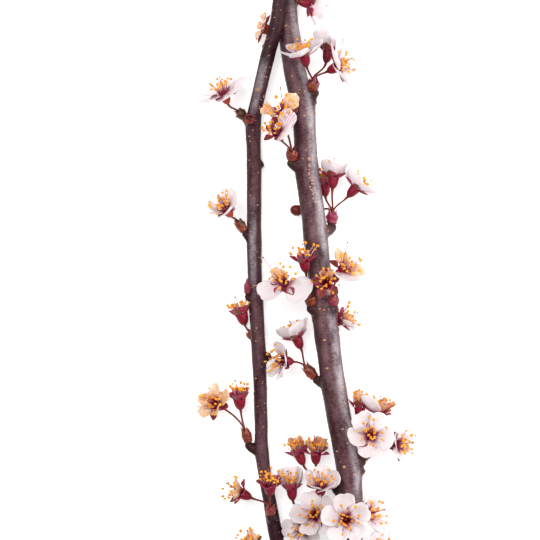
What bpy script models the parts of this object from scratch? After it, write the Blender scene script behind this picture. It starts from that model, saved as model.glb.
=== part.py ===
"""A cut branch of plum blossom, laid down: a main stem and one side shoot that fork near the cut
end, and sprays of five-petalled blossoms that stand on short spurs.

The branch lies along Y on the plane z = 0 and is looked at from above. Its origin is the middle
of its box, on that plane. Every size and place is in millimetres; MM turns them into metres.
Places along the branch are written from a point beside the main stem's middle; at() moves them to
the origin.
"""

import math
import random
from collections import namedtuple

import bmesh
import bpy
from mathutils import Matrix, Vector

MM = 0.001

# The middle of the branch's box, written from the point that the places below are written from.
BOX_MIDDLE = (3.5, -43.7)

# The clear gap between two pieces that touch on the plant.
GAP = 0.3

# Driving sizes of one blossom, about 24 across when it is flat open. Its own frame has the throat
# at the origin and faces +Z; sepals stand between petals, half a sector round from them.
PETALS = 5
SECTOR = 360 / PETALS
HALF_SECTOR = math.radians(SECTOR / 2)
PETAL_LENGTH = 9.8
PETAL_HALF_WIDTH = 4.7
PETAL_THICKNESS = 0.66
PETAL_CURL = 0.16
CLAW_RADIUS = 2.25
CLAW_HEIGHT = 0.85
CLAW_RING = (-0.45, 0.2)
CUP_LENGTH = 5.9
CUP_RADIUS = 2.8
CUP_FOOT_RADIUS = 1.0
MOUTH_HEIGHT = -0.05
SEPAL_LENGTH = 5.5
SEPAL_THICKNESS = 0.6
SEPAL_HEIGHT = -0.75
STALK_RADIUS = 0.55
STALK_SPANS = 3
STAMEN_LENGTH = 8.0
STAMEN_RADIUS = 0.3
STAMEN_SPREAD = 0.5
STAMEN_ROOT = 0.5
ANTHER_RADIUS = 0.62
ANTHER_HEIGHT = 1.3
BUD_RADIUS = 3.1
BUD_STRETCH = 1.2

# Rows of a petal: share of its length, share of its half width.
FINE_OUTLINE = ((0.36, 0.8), (0.74, 1.0), (1.0, 0.5))
PLAIN_OUTLINE = ((0.6, 1.0), (1.0, 0.56))

# How round the tubes are: 4 + 2 * level sides.
MAIN_LEVEL = 3
SHOOT_LEVEL = 2
SMALL_LEVEL = 1

# Edges sharper than this stay sharp under smooth shading.
SHARP_ANGLE = math.radians(50)

# Points along the two stems: x, y, height of the centre, radius.
MAIN_STEM = [
    (11.5, -238, 6.9, 6.8),
    (14.2, -212, 7.3, 7.2),
    (19.5, -185, 6.8, 6.5),
    (24.0, -158, 6.3, 6.2),
    (25.3, -130, 5.7, 6.15),
    (25.1, -104, 7.2, 6.1),
    (22.3, -87.5, 8.6, 6.3),
    (17.5, -62.5, 10.8, 6.1),
    (13.8, -36, 12.6, 6.1),
    (11.3, -15, 13.7, 6.3),
    (9.4, 1, 14.3, 6.0),
    (6.3, 29, 14.6, 6.0),
    (3.7, 47, 14.2, 5.9),
    (2.4, 67, 13.1, 5.7),
    (1.2, 84, 11.7, 6.0),
    (-2.7, 100, 10.0, 5.6),
    (-6.0, 124, 7.6, 5.4),
    (-8.6, 146, 4.95, 5.3),
]
SIDE_SHOOT = [
    (14.0, -213, 7.3, 4.2),
    (6.5, -194, 7.5, 3.9),
    (-1.5, -175, 7.6, 3.7),
    (-8.0, -152, 8.0, 3.5),
    (-12.0, -134, 8.3, 3.4),
    (-15.3, -115, 8.7, 3.4),
    (-18.8, -94, 9.1, 3.4),
    (-19.6, -72, 9.6, 3.4),
    (-20.2, -50, 9.8, 3.5),
    (-21.6, -24, 8.4, 3.7),
    (-22.6, -4, 5.6, 3.7),
    (-23.0, 12, 3.45, 3.75),
    (-23.0, 28, 3.9, 3.75),
    (-23.0, 44, 4.6, 3.75),
    (-23.2, 60, 5.3, 3.7),
    (-23.3, 74, 6.3, 3.8),
    (-21.4, 85, 8.6, 3.6),
    (-16.2, 106.5, 13.2, 3.6),
    (-12.4, 120, 15.5, 3.5),
    (-10.2, 135, 16.9, 3.4),
    (-8.6, 151, 17.9, 3.3),
]
STEMS = {"main": MAIN_STEM, "shoot": SIDE_SHOOT}

# A spur leaves its stem at root_y and ends at tip, where bud scales with the given mouth stand.
Spur = namedtuple("Spur", "stem root_y tip mouth radius")
SPURS = {
    "a": Spur("main", 132, (-0.8, 136.8, 5.0), (1.2, 139.6, 5.2), 1.7),
    "b": Spur("main", 84, (6.6, 89.5, 15.8), (6.0, 95.3, 18.4), 2.2),
    "c": Spur("main", 50, (-4.0, 54.5, 19.0), (-4.4, 60.0, 21.2), 2.1),
    "d": Spur("main", 17, (15.8, 23, 9.5), (16.5, 30, 8.8), 2.1),
    "e": Spur("main", -20.5, (5.4, -17.5, 20.3), (4.6, -12.3, 21.8), 2.1),
    "f": Spur("main", -20.5, (16.4, -17.5, 20.8), (16.2, -12.0, 22.6), 2.1),
    "g": Spur("main", -34, (17.0, -31, 5.4), (18.4, -28.3, 4.9), 1.6),
    "h": Spur("main", -58, (7.7, -54.0, 9.0), (2.2, -47.6, 9.0), 1.9),
    "i": Spur("main", -100, (31.4, -94.5, 10.5), (34.2, -89.5, 11.5), 2.2),
    "j": Spur("main", -135, (24.8, -133.5, 14.6), (24.3, -131, 18.5), 2.2),
    "k": Spur("main", -125, (17.2, -120.5, 9.4), (13.0, -117.3, 10.7), 2.0),
    "l": Spur("main", -115, (17.4, -109.5, 5.6), (13.8, -105, 5.6), 1.9),
    "m": Spur("main", -152, (32.2, -147.5, 8.2), (34.7, -144.3, 9.5), 1.9),
    "n": Spur("shoot", 106, (-16.8, 110.5, 8.8), (-17.0, 114.0, 7.6), 1.25),
    "o": Spur("shoot", 71, (-27.8, 76.5, 7.6), (-31.3, 80.5, 9.2), 1.8),
    "p": Spur("shoot", 14, (-28.0, 19.5, 6.2), (-31.6, 25.6, 7.6), 1.7),
    "q": Spur("shoot", -38, (-24.0, -34.5, 4.6), (-25.7, -30.5, 4.0), 1.4),
    "r": Spur("shoot", -92, (-25.8, -86.5, 9.0), (-27.8, -79.5, 9.5), 1.8),
    "s": Spur("shoot", -125, (-14.6, -122, 14.0), (-15.0, -117, 16.2), 1.8),
    "t": Spur("shoot", -155, (-13.2, -151.5, 8.5), (-16.6, -148, 9.0), 1.5),
    "bud_u": Spur("shoot", -14, (-26.4, -12, 10.6), (-26.4, -4.6, 10.8), 1.1),
    "bud_v": Spur("shoot", -132, (-7.2, -130, 8.4), (-6.4, -125.3, 8.4), 1.1),
    "bud_w": Spur("shoot", 73, (-25.4, 74.6, 11.0), (-25.6, 76.0, 13.8), 1.7),
}

# Bare knobs of wood where older spurs stood.
Knob = namedtuple("Knob", "stem root_y tip radius")
KNOBS = [
    Knob("shoot", 51, (-18.4, 54, 4.2), 1.7),
    Knob("shoot", -46, (-14.6, -42.5, 9.9), 1.7),
    Knob("main", 83, (8.0, 85.5, 12.5), 2.6),
    Knob("main", -103, (31.8, -99, 8.6), 2.8),
    Knob("main", -180, (27.6, -177, 8.0), 2.2),
    Knob("main", -228, (4.2, -223, 8.6), 2.4),
]

# A blossom of a spur's spray has its throat at throat and faces the way faces. Its petals open by
# opening degrees from flat. The first of them is seen at the angle turn, and they follow counter-
# clockwise: w is fresh, t is withered, a dot has fallen.
Blossom = namedtuple("Blossom", "spur throat faces size opening turn petals stamens")
BLOSSOMS = {
    "a1": Blossom("a", (4.6, 133.4, 12.0), (0.85, -0.1, -0.25), 1.0, 30, 10, "wwwww", 3),
    "b1": Blossom("b", (1.7, 105.8, 25.4), (-0.24, 0.92, 0.31), 1.05, 27, 196, "wwwww", 4),
    "b2": Blossom("b", (14.2, 109.4, 12.0), (0.2, 0.95, -0.05), 1.1, 58, 0, "wwwww", 3),
    "b3": Blossom("b", (18.4, 100.6, 21.0), (0.84, 0.36, 0.42), 1.28, 26, 80, "wwwww", 5),
    "c1": Blossom("c", (-11.4, 67.8, 26.8), (-0.35, 0.6, 0.7), 1.15, 30, 40, "w...w", 5),
    "c2": Blossom("c", (-8.6, 77.6, 20.85), (-0.1, 0.55, 0.83), 1.5, 16, 55, "t.t..", 3),
    "d1": Blossom("d", (27.8, 41, 13.0), (0.65, 0.72, 0.1), 1.05, 34, 30, "wwwww", 3),
    "d2": Blossom("d", (16.8, 46.5, 13.0), (0.1, 0.97, 0.0), 0.92, 60, 0, "wwwww", 3),
    "d3": Blossom("d", (12.4, 42.8, 6.8), (-0.08, 0.97, -0.02), 1.05, 68, 50, "tt...", 3),
    "d4": Blossom("d", (-3.6, 30.4, 5.2), (-0.97, 0.1, 0.1), 1.0, 78, 0, "bud", 0),
    "e1": Blossom("e", (-8.0, -6.6, 26.0), (-0.1, 0.64, 0.76), 1.28, -8, 200, "w.w.t", 5),
    "e2": Blossom("e", (1.8, 4.4, 24.5), (-0.15, 0.95, 0.3), 1.0, 66, 0, ".....", 5),
    "f1": Blossom("f", (12.8, -6.6, 29.2), (-0.05, 0.2, 0.97), 0.9, 30, 62, "tt...", 5),
    "f2": Blossom("f", (21.2, 0.2, 23.5), (0.42, 0.6, 0.65), 1.25, 26, 104, "t.wtw", 5),
    "g1": Blossom("g", (20.6, -25.0, 6.8), (0.85, 0.4, 0.2), 0.8, 45, 0, "wt..w", 3),
    "h1": Blossom("h", (-1.6, -34, 10.5), (-0.36, 0.9, 0.05), 1.0, 50, 10, "wwwww", 3),
    "h2": Blossom("h", (-8.4, -45.2, 16.2), (-0.84, 0.1, 0.53), 0.9, 30, 80, "w.www", 3),
    "i1": Blossom("i", (34.6, -81.9, 24.0), (0.02, 0.42, 0.9), 1.1, 20, 51, "wwwww", 5),
    "i2": Blossom("i", (49.0, -87.5, 13.5), (0.8, 0.1, 0.58), 0.95, 28, 75, "wwwww", 4),
    "i3": Blossom("i", (39.6, -71.6, 12.0), (0.15, 0.94, 0.15), 1.2, 48, 0, "tt.wt", 3),
    "i4": Blossom("i", (30.1, -69.1, 8.6), (0.04, 0.97, -0.02), 1.05, 74, 36, "twt..", 3),
    "j1": Blossom("j", (22.2, -122.4, 28.6), (0.0, 0.14, 0.98), 1.1, 14, 95, "wwwww", 5),
    "j2": Blossom("j", (34.2, -121.7, 17.0), (0.72, 0.3, 0.45), 1.15, 30, 75, "wwwww", 4),
    "j3": Blossom("j", (2.0, -129.2, 13.0), (-0.4, -0.05, 0.9), 0.98, 16, 108, "wwww.", 4),
    "k1": Blossom("k", (7.4, -121.8, 19.4), (-0.2, 0.45, 0.87), 1.05, 17, 106, "wwwww", 4),
    "k2": Blossom("k", (-4.2, -109.3, 12.5), (-0.1, 0.97, 0.1), 1.1, 70, 0, "www..", 3),
    "k3": Blossom("k", (10.4, -108.0, 15.2), (0.0, 0.82, 0.56), 0.95, 42, 18, "wwwww", 3),
    "l1": Blossom("l", (-0.4, -92.5, 7.2), (-0.36, 0.93, 0.0), 1.2, 64, 0, "ttt..", 3),
    "l2": Blossom("l", (8.0, -91.9, 9.9), (0.0, 0.97, 0.24), 1.2, 44, 22, "tt.t.", 3),
    "m1": Blossom("m", (41.5, -141.0, 14.5), (0.35, 0.7, 0.6), 1.0, 30, 0, "wwwww", 3),
    "n1": Blossom("n", (-18.2, 121.2, 9.2), (-0.92, 0.38, 0.1), 0.85, 4, 100, "ttttt", 0),
    "o1": Blossom("o", (-38.2, 88, 14.5), (-0.36, 0.82, 0.44), 1.18, 12, 0, "wwwww", 5),
    "p1": Blossom("p", (-37.0, 30.5, 14.0), (-0.45, 0.6, 0.65), 0.95, 36, 0, "wwwww", 5),
    "q1": Blossom("q", (-29.4, -22.0, 7.0), (-0.3, 0.95, 0.05), 1.0, 72, 0, ".....", 4),
    "r1": Blossom("r", (-42.0, -67, 14.0), (-0.5, 0.35, 0.78), 1.25, 20, 10, "ttttt", 4),
    "r2": Blossom("r", (-30.3, -64, 13.5), (-0.1, 0.97, 0.2), 1.0, 74, 0, ".....", 4),
    "s1": Blossom("s", (-15.0, -106.5, 20.5), (0.02, 0.88, 0.45), 1.0, 62, 0, ".....", 5),
    "s2": Blossom("s", (-29.5, -111.5, 13.0), (-0.85, 0.42, 0.3), 0.95, 40, 0, "t...t", 4),
    "t1": Blossom("t", (-25.0, -138.5, 12.5), (-0.3, 0.85, 0.4), 0.95, 40, 0, "tt.tt", 3),
}

# Colours as seen, with roughness.
FINISHES = {
    "bark": ((0.145, 0.100, 0.098), 0.45),
    "calyx": ((0.270, 0.030, 0.060), 0.50),
    "petal_fresh": ((0.900, 0.790, 0.810), 0.55),
    "petal_withered": ((0.800, 0.480, 0.230), 0.70),
}


def clear_scene():
    for obj in list(bpy.data.objects):
        bpy.data.objects.remove(obj)


def material(name):
    """The Principled material of that name, made the first time it is asked for."""
    found = bpy.data.materials.get(name)
    if found:
        return found
    made = bpy.data.materials.new(name)
    made.use_nodes = True
    colour, roughness = FINISHES[name]
    shader = made.node_tree.nodes["Principled BSDF"]
    shader.inputs["Base Color"].default_value = (*colour, 1.0)
    shader.inputs["Roughness"].default_value = roughness
    shader.inputs["Metallic"].default_value = 0.0
    made.diffuse_color = (*colour, 1.0)
    return made


def at(place):
    """A place written as those above, in metres from the branch's origin."""
    x, y, z = place
    return Vector((x - BOX_MIDDLE[0], y - BOX_MIDDLE[1], z)) * MM


def stem_point(stem, y):
    """Centre and radius of a stem where it passes y."""
    points = STEMS[stem]
    for (xa, ya, za, ra), (xb, yb, zb, rb) in zip(points, points[1:]):
        if ya <= y <= yb:
            t = (y - ya) / (yb - ya)
            return Vector((xa + t * (xb - xa), y, za + t * (zb - za))), ra + t * (rb - ra)
    raise ValueError("the stem does not reach that far")


def link(obj, collection):
    collection.objects.link(obj)
    return obj


def tube(name, points, radii, corner_level, collection):
    """A closed mesh tube along points, each with its own radius, from a bevelled curve."""
    curve = bpy.data.curves.new(name, "CURVE")
    curve.dimensions = "3D"
    curve.bevel_depth = MM
    curve.bevel_resolution = corner_level
    curve.use_fill_caps = True
    spline = curve.splines.new("POLY")
    spline.points.add(len(points) - 1)
    for point, place, radius in zip(spline.points, points, radii):
        point.co = (*place, 1.0)
        point.radius = radius
    guide = link(bpy.data.objects.new(name, curve), collection)
    graph = bpy.context.evaluated_depsgraph_get()
    mesh = bpy.data.meshes.new_from_object(guide.evaluated_get(graph))
    bpy.data.objects.remove(guide)
    bm = bmesh.new()
    bm.from_mesh(mesh)
    bmesh.ops.remove_doubles(bm, verts=bm.verts, dist=1e-6)
    bm.to_mesh(mesh)
    bm.free()
    return link(bpy.data.objects.new(name, mesh), collection)


def from_bmesh(name, bm, place, collection):
    """A new object from a bmesh made in millimetres, set at the matrix place."""
    bmesh.ops.scale(bm, vec=(MM, MM, MM), verts=bm.verts)
    bmesh.ops.recalc_face_normals(bm, faces=bm.faces)
    mesh = bpy.data.meshes.new(name)
    bm.to_mesh(mesh)
    bm.free()
    obj = link(bpy.data.objects.new(name, mesh), collection)
    obj.matrix_world = place
    return obj


def thicken(obj, thickness):
    shell = obj.modifiers.new("thickness", "SOLIDIFY")
    shell.thickness = thickness * MM
    shell.offset = 0.0
    shell.use_even_offset = False


def fuse(name, pieces, finish, place, model):
    """Joins overlapping pieces into one solid by a Boolean union, and removes them."""
    body, others = pieces[0], pieces[1:]
    bpy.context.view_layer.update()
    gathered = bpy.data.collections.new(name + "_pieces")
    for piece in others:
        gathered.objects.link(piece)
    if others:
        union = body.modifiers.new("union", "BOOLEAN")
        union.operation = "UNION"
        union.operand_type = "COLLECTION"
        union.solver = "EXACT"
        union.collection = gathered
    graph = bpy.context.evaluated_depsgraph_get()
    mesh = bpy.data.meshes.new_from_object(body.evaluated_get(graph))
    mesh.transform(place.inverted() @ body.matrix_world)
    mesh.name = name
    for piece in pieces:
        bpy.data.objects.remove(piece)
    bpy.data.collections.remove(gathered)
    solid = link(bpy.data.objects.new(name, mesh), model)
    solid.matrix_world = place
    mesh.materials.clear()
    mesh.materials.append(material(finish))
    mesh.shade_smooth()
    mesh.set_sharp_from_angle(angle=SHARP_ANGLE)
    return solid


def facing(throat, way, turn):
    """The frame at throat with Z along way and X towards the side that is seen at the angle turn."""
    z_axis = Vector(way).normalized()
    side = Vector((math.cos(math.radians(turn)), math.sin(math.radians(turn)), 0))
    x_axis = (side - side.dot(z_axis) * z_axis).normalized()
    y_axis = z_axis.cross(x_axis)
    rotation = Matrix((x_axis, y_axis, z_axis)).transposed().to_4x4()
    return Matrix.Translation(at(throat)) @ rotation


def spur_heading(spur):
    return (Vector(spur.mouth) - Vector(spur.tip)).normalized()


def stem_tube(stem, corner_level, work):
    points = STEMS[stem]
    return tube(stem, [at(p[:3]) for p in points], [p[3] for p in points], corner_level, work)


def spur_tube(name, spur, heading, work):
    """A short spur that swells out of the stem and ends in a flat face that looks along heading."""
    root, stem_radius = stem_point(spur.stem, spur.root_y)
    tip = Vector(spur.tip)
    shoulder = tip - heading * min(2.2, 0.45 * (tip - root).length)
    radii = [0.75 * stem_radius, 1.2 * spur.radius, spur.radius]
    return tube(name, [at(p) for p in (root, shoulder, tip)], radii, SMALL_LEVEL, work)


def lay_flat_spot(wood):
    """Planes off what the wood has below z = 0, which leaves small flats that it rests on."""
    bm = bmesh.new()
    bm.from_mesh(wood.data)
    bm.transform(wood.matrix_world)
    everything = [*bm.verts, *bm.edges, *bm.faces]
    cut = bmesh.ops.bisect_plane(bm, geom=everything, dist=1e-7, plane_no=(0, 0, -1), clear_outer=True)
    rim = [e for e in cut["geom_cut"] if isinstance(e, bmesh.types.BMEdge)]
    bmesh.ops.holes_fill(bm, edges=rim, sides=0)
    bm.transform(wood.matrix_world.inverted())
    bm.to_mesh(wood.data)
    bm.free()


def make_wood(model, work):
    """The main stem, the side shoot, the spurs and the old knobs, as one piece of wood."""
    pieces = [stem_tube("main", MAIN_LEVEL, work), stem_tube("shoot", SHOOT_LEVEL, work)]
    for name, spur in SPURS.items():
        pieces.append(spur_tube("spur_" + name, spur, spur_heading(spur), work))
    for number, knob in enumerate(KNOBS):
        heading = (Vector(knob.tip) - stem_point(knob.stem, knob.root_y)[0]).normalized()
        pieces.append(spur_tube(f"knob_{number}", knob, heading, work))
    wood = fuse("branch_wood", pieces, "bark", Matrix.Identity(4), model)
    lay_flat_spot(wood)


def pointed_scale(name, radius, length, place, work):
    """One long three-sided scale that leans out a little from the cup of scales."""
    bm = bmesh.new()
    base, depth = 0.7 * radius, 0.8 * length
    bmesh.ops.create_cone(bm, cap_ends=True, segments=3, radius1=base, radius2=0.12, depth=depth)
    bmesh.ops.translate(bm, vec=(0.6 * radius, 0, 0.8 * length), verts=bm.verts)
    lean = Matrix.Rotation(math.radians(12), 3, "Y")
    bmesh.ops.rotate(bm, cent=(0, 0, 0.3 * length), matrix=lean, verts=bm.verts)
    return from_bmesh(name, bm, place, work)


def bud_scales(name, spur, work):
    """The cup of bud scales on a spur's tip, with two pointed scales beside it."""
    heading = spur_heading(spur)
    start = Vector(spur.tip) + heading * GAP
    length = (Vector(spur.mouth) - start).length
    points = [at(start + heading * length * share) for share in (0.0, 0.45, 1.0)]
    radii = [0.98 * spur.radius, 1.18 * spur.radius, 0.72 * spur.radius]
    pieces = [tube(name, points, radii, SMALL_LEVEL, work)]
    for turn in (40, 190):
        place = facing(start, heading, turn)
        pieces.append(pointed_scale(f"{name}_{turn}", spur.radius, length, place, work))
    return pieces


def stalk(name, blossom, work):
    """The stalk from the bud scales to the foot of a blossom's cup, bent to meet both straight."""
    spur = SPURS[blossom.spur]
    heading = spur_heading(spur)
    way = Vector(blossom.faces).normalized()
    foot = Vector(spur.mouth) - heading * 1.6
    base = Vector(blossom.throat) - way * CUP_LENGTH
    bend = 0.38 * (base - foot).length
    points = []
    for step in range(STALK_SPANS):
        t = step / STALK_SPANS
        near = (1 - t) ** 2 * ((1 - t) * foot + 3 * t * (foot + heading * bend))
        far = t**2 * (3 * (1 - t) * (base - way * bend) + t * base)
        points.append(near + far)
    points.append(base + way * 0.6)
    return tube(name, [at(p) for p in points], [STALK_RADIUS] * len(points), SMALL_LEVEL, work)


def extrude_row(bm, edges):
    """Extrudes a row of edges once and returns the new edges and their corners."""
    made = bmesh.ops.extrude_edge_only(bm, edges=edges)["geom"]
    row = [e for e in made if isinstance(e, bmesh.types.BMEdge) and len(e.link_faces) == 1]
    return row, {v for e in made if isinstance(e, bmesh.types.BMEdge) for v in e.verts if v in made}


def calyx(name, opening, place, work):
    """The cup under a blossom, whose rim runs out into a star of five pointed sepals.

    Each ring has a radius and a height for the corners between two sepals, and for those at the
    sepals' points. The last ring closes up between the sepals, which leaves a flat mouth.
    """
    rise = math.radians(0.7 * opening - 4)
    tip_radius = CUP_RADIUS + SEPAL_LENGTH * math.cos(rise)
    tip_height = SEPAL_HEIGHT + SEPAL_LENGTH * math.sin(rise)
    belly = (CUP_RADIUS - 0.3, -CUP_LENGTH / 2)
    valley = (CUP_RADIUS - 0.1, MOUTH_HEIGHT)
    rings = [
        (belly, belly),
        ((CUP_RADIUS + 0.1, SEPAL_HEIGHT), (tip_radius, tip_height)),
        (valley, (tip_radius - 0.2, tip_height + SEPAL_THICKNESS)),
        (valley, (CUP_RADIUS, MOUTH_HEIGHT)),
    ]
    bm = bmesh.new()
    bmesh.ops.create_circle(bm, cap_ends=True, segments=2 * PETALS, radius=CUP_FOOT_RADIUS)
    bmesh.ops.translate(bm, vec=(0, 0, -CUP_LENGTH), verts=bm.verts)
    quarter_sector = Matrix.Rotation(HALF_SECTOR / 2, 3, "Z")
    bmesh.ops.rotate(bm, cent=(0, 0, 0), matrix=quarter_sector, verts=bm.verts)
    edges = list(bm.edges)
    for ring in rings:
        edges, corners = extrude_row(bm, edges)
        for corner in corners:
            angle = math.atan2(corner.co.y, corner.co.x)
            radius, height = ring[round(angle / HALF_SECTOR) % 2]
            corner.co = (radius * math.cos(angle), radius * math.sin(angle), height)
    bmesh.ops.contextual_create(bm, geom=edges)
    bmesh.ops.remove_doubles(bm, verts=bm.verts, dist=0.001)
    return from_bmesh(name, bm, place, work)


def stamen(name, length, lean, turn, place, work):
    """A three-sided thread that ends in a small pointed anther."""
    top_radius = 0.8 * STAMEN_RADIUS
    widen = ANTHER_RADIUS / top_radius
    bm = bmesh.new()
    radii = {"radius1": STAMEN_RADIUS, "radius2": top_radius}
    bmesh.ops.create_cone(bm, cap_ends=True, segments=3, depth=length + STAMEN_ROOT, **radii)
    bmesh.ops.translate(bm, vec=(0, 0, (length - STAMEN_ROOT) / 2), verts=bm.verts)
    top = max(bm.faces, key=lambda f: f.calc_center_median().z)
    anther = bmesh.ops.extrude_discrete_faces(bm, faces=[top])["faces"][0]
    bmesh.ops.translate(bm, vec=(0, 0, ANTHER_HEIGHT / 2), verts=anther.verts)
    bmesh.ops.scale(bm, vec=(widen, widen, 1), verts=anther.verts)
    bmesh.ops.poke(bm, faces=[anther], offset=ANTHER_HEIGHT / 2)
    foot = Vector((STAMEN_SPREAD, 0, 0))
    bmesh.ops.translate(bm, vec=foot, verts=bm.verts)
    bmesh.ops.rotate(bm, cent=foot, matrix=Matrix.Rotation(math.radians(lean), 3, "Y"), verts=bm.verts)
    return from_bmesh(name, bm, place @ Matrix.Rotation(math.radians(turn), 4, "Z"), work)


def closed_bud(name, place, work):
    """The closed petals of an unopened blossom, an egg that sits on its stalk."""
    bm = bmesh.new()
    bmesh.ops.create_icosphere(bm, subdivisions=1, radius=BUD_RADIUS)
    bmesh.ops.scale(bm, vec=(1, 1, BUD_STRETCH), verts=bm.verts)
    bmesh.ops.translate(bm, vec=(0, 0, BUD_RADIUS * BUD_STRETCH - CUP_LENGTH), verts=bm.verts)
    return from_bmesh(name, bm, place, work)


def blossom_heart(name, blossom, work):
    """Stalk, cup, sepals, stamens and pistil of one blossom, as overlapping pieces."""
    place = facing(blossom.throat, blossom.faces, blossom.turn)
    pieces = [stalk(name, blossom, work)]
    if blossom.petals == "bud":
        return [*pieces, closed_bud(name + "_bud", place, work)]
    pieces.append(calyx(name + "_calyx", blossom.opening, place, work))
    draw = random.Random(name)
    widest_lean = min(21, 0.4 * (90 - blossom.opening))
    for number in range(blossom.stamens):
        lean, share = 0, 1.15
        if number:
            lean = draw.uniform(0.3, 1.0) * widest_lean
            share = draw.uniform(0.7, 1.0)
        around = 360 * number / blossom.stamens + draw.uniform(-12, 12)
        pieces.append(stamen(f"{name}_stamen_{number}", share * STAMEN_LENGTH, lean, around, place, work))
    return pieces


def petal_rows(kind, blossom, outline, draw):
    """How far a petal rises, and its rows from the claw outwards: distance out, height, half width."""
    if kind == "t":
        length = PETAL_LENGTH * draw.uniform(0.66, 0.8)
        broad = PETAL_HALF_WIDTH * draw.uniform(0.6, 0.75)
        rise = math.radians(blossom.opening + draw.uniform(4, 20))
    else:
        length = PETAL_LENGTH * draw.uniform(0.96, 1.04)
        broad = PETAL_HALF_WIDTH * draw.uniform(0.95, 1.03)
        rise = math.radians(blossom.opening + draw.uniform(-3, 3))
    rows = []
    for share, width in outline:
        along = blossom.size * share * length
        ripple = draw.uniform(-0.8, 0.8) * share if kind == "t" else 0.0
        out = CLAW_RADIUS + along * math.cos(rise) - ripple * math.sin(rise)
        up = CLAW_HEIGHT + along * math.sin(rise) + ripple * math.cos(rise)
        rows.append((out, up, blossom.size * width * broad))
    return rise, rows


def grow_petal(bm, claw, rise, rows, turn):
    """Extrudes a petal from its edge of the claw ring, as a cupped blade with three corners a row."""
    spin = Matrix.Rotation(math.radians(turn), 3, "Z")
    edges = [claw]
    for out, up, half_width in rows:
        edges, corners = extrude_row(bm, edges)
        if len(edges) == 1:
            half, middle = bmesh.utils.edge_split(edges[0], edges[0].verts[0], 0.5)
            edges.append(half)
            corners.add(middle)
        reach = out - PETAL_CURL * half_width * math.sin(rise)
        half_width = min(half_width, 0.93 * reach * math.tan(HALF_SECTOR))
        row = sorted(corners, key=lambda v: (spin.transposed() @ v.co).y)
        for side, corner in zip((-1, 0, 1), row):
            back = 0.05 * out * abs(side)
            curl = PETAL_CURL * half_width * abs(side)
            x = out - back * math.cos(rise) - curl * math.sin(rise)
            z = up - back * math.sin(rise) + curl * math.cos(rise)
            corner.co = spin @ Vector((x, side * half_width, z))


def claw_ring(bm):
    """A flat ring with one side for each petal, and its edges."""
    for width in CLAW_RING:
        corner_radius = (CLAW_RADIUS + width) / math.cos(HALF_SECTOR)
        bmesh.ops.create_circle(bm, segments=PETALS, radius=corner_radius)
    bmesh.ops.bridge_loops(bm, edges=bm.edges)
    first_side = Matrix.Rotation(HALF_SECTOR - math.radians(90), 3, "Z")
    bmesh.ops.rotate(bm, cent=(0, 0, 0), matrix=first_side, verts=bm.verts)
    bmesh.ops.translate(bm, vec=(0, 0, CLAW_HEIGHT), verts=bm.verts)
    return list(bm.edges)


def make_petals(name, blossom, model, work):
    """All the petals of a blossom, which their claws hold together in a ring round the stamens."""
    draw = random.Random(name)
    seen_well = blossom.stamens > 3 and blossom.petals.count("w") > 2
    outline = FINE_OUTLINE if seen_well else PLAIN_OUTLINE
    bm = bmesh.new()
    ring = claw_ring(bm)
    for number, kind in enumerate(blossom.petals):
        if kind == ".":
            continue
        turn = SECTOR * number
        way = Matrix.Rotation(math.radians(turn), 3, "Z") @ Vector((1, 0, 0))
        claw = max(ring, key=lambda e: (e.verts[0].co + e.verts[1].co).dot(way))
        grow_petal(bm, claw, *petal_rows(kind, blossom, outline, draw), turn)
    bmesh.ops.triangulate(bm, faces=bm.faces)
    place = facing(blossom.throat, blossom.faces, blossom.turn)
    blade = from_bmesh("petals_" + name, bm, place, work)
    thicken(blade, PETAL_THICKNESS)
    fresh = blossom.petals.count("w") >= blossom.petals.count("t")
    fuse("petals_" + name, [blade], "petal_fresh" if fresh else "petal_withered", place, model)


def make_spray(name, spur, model, work):
    """One spur's bud scales with the hearts of all its blossoms, as one body."""
    pieces = bud_scales("scales_" + name, spur, work)
    for blossom_name, blossom in BLOSSOMS.items():
        if blossom.spur == name:
            pieces += blossom_heart(blossom_name, blossom, work)
    place = Matrix.Translation(at(spur.tip))
    fuse(name if name.startswith("bud") else "spray_" + name, pieces, "calyx", place, model)


def main():
    clear_scene()
    model = bpy.data.collections.new("plum_blossom_branch")
    work = bpy.data.collections.new("work")
    bpy.context.scene.collection.children.link(model)
    bpy.context.scene.collection.children.link(work)
    branch = link(bpy.data.objects.new("plum_blossom_branch", None), model)
    make_wood(model, work)
    for name, spur in SPURS.items():
        make_spray(name, spur, model, work)
    for name, blossom in BLOSSOMS.items():
        if set("wt") & set(blossom.petals):
            make_petals(name, blossom, model, work)
    for solid in model.objects:
        if solid.type == "MESH":
            solid.parent = branch
    bpy.data.collections.remove(work)


main()
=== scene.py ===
# %% [markdown]
# # A cut branch of plum blossom
#
# A plum branch in flower is woody stems, short spurs, and on each spur a cup of bud scales from
# which a few blossoms stand on stalks. A blossom is a cup with five pointed sepals, five petals, a
# ring of stamens and one pistil. The branch lies on a pale floor and is looked at from above.
#
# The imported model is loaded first. It holds every piece at its real size, with few faces, and
# nothing in it is moved. Each of its pieces is then replaced by a finer one in the same place.

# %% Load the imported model
import random
from collections import namedtuple
from math import atan2, cos, exp, hypot, pi, radians, sin, sqrt, tau

import bmesh
import bpy
import numpy as np
from mathutils import Matrix, Vector, noise
from mathutils.bvhtree import BVHTree
from mathutils.kdtree import KDTree


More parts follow.
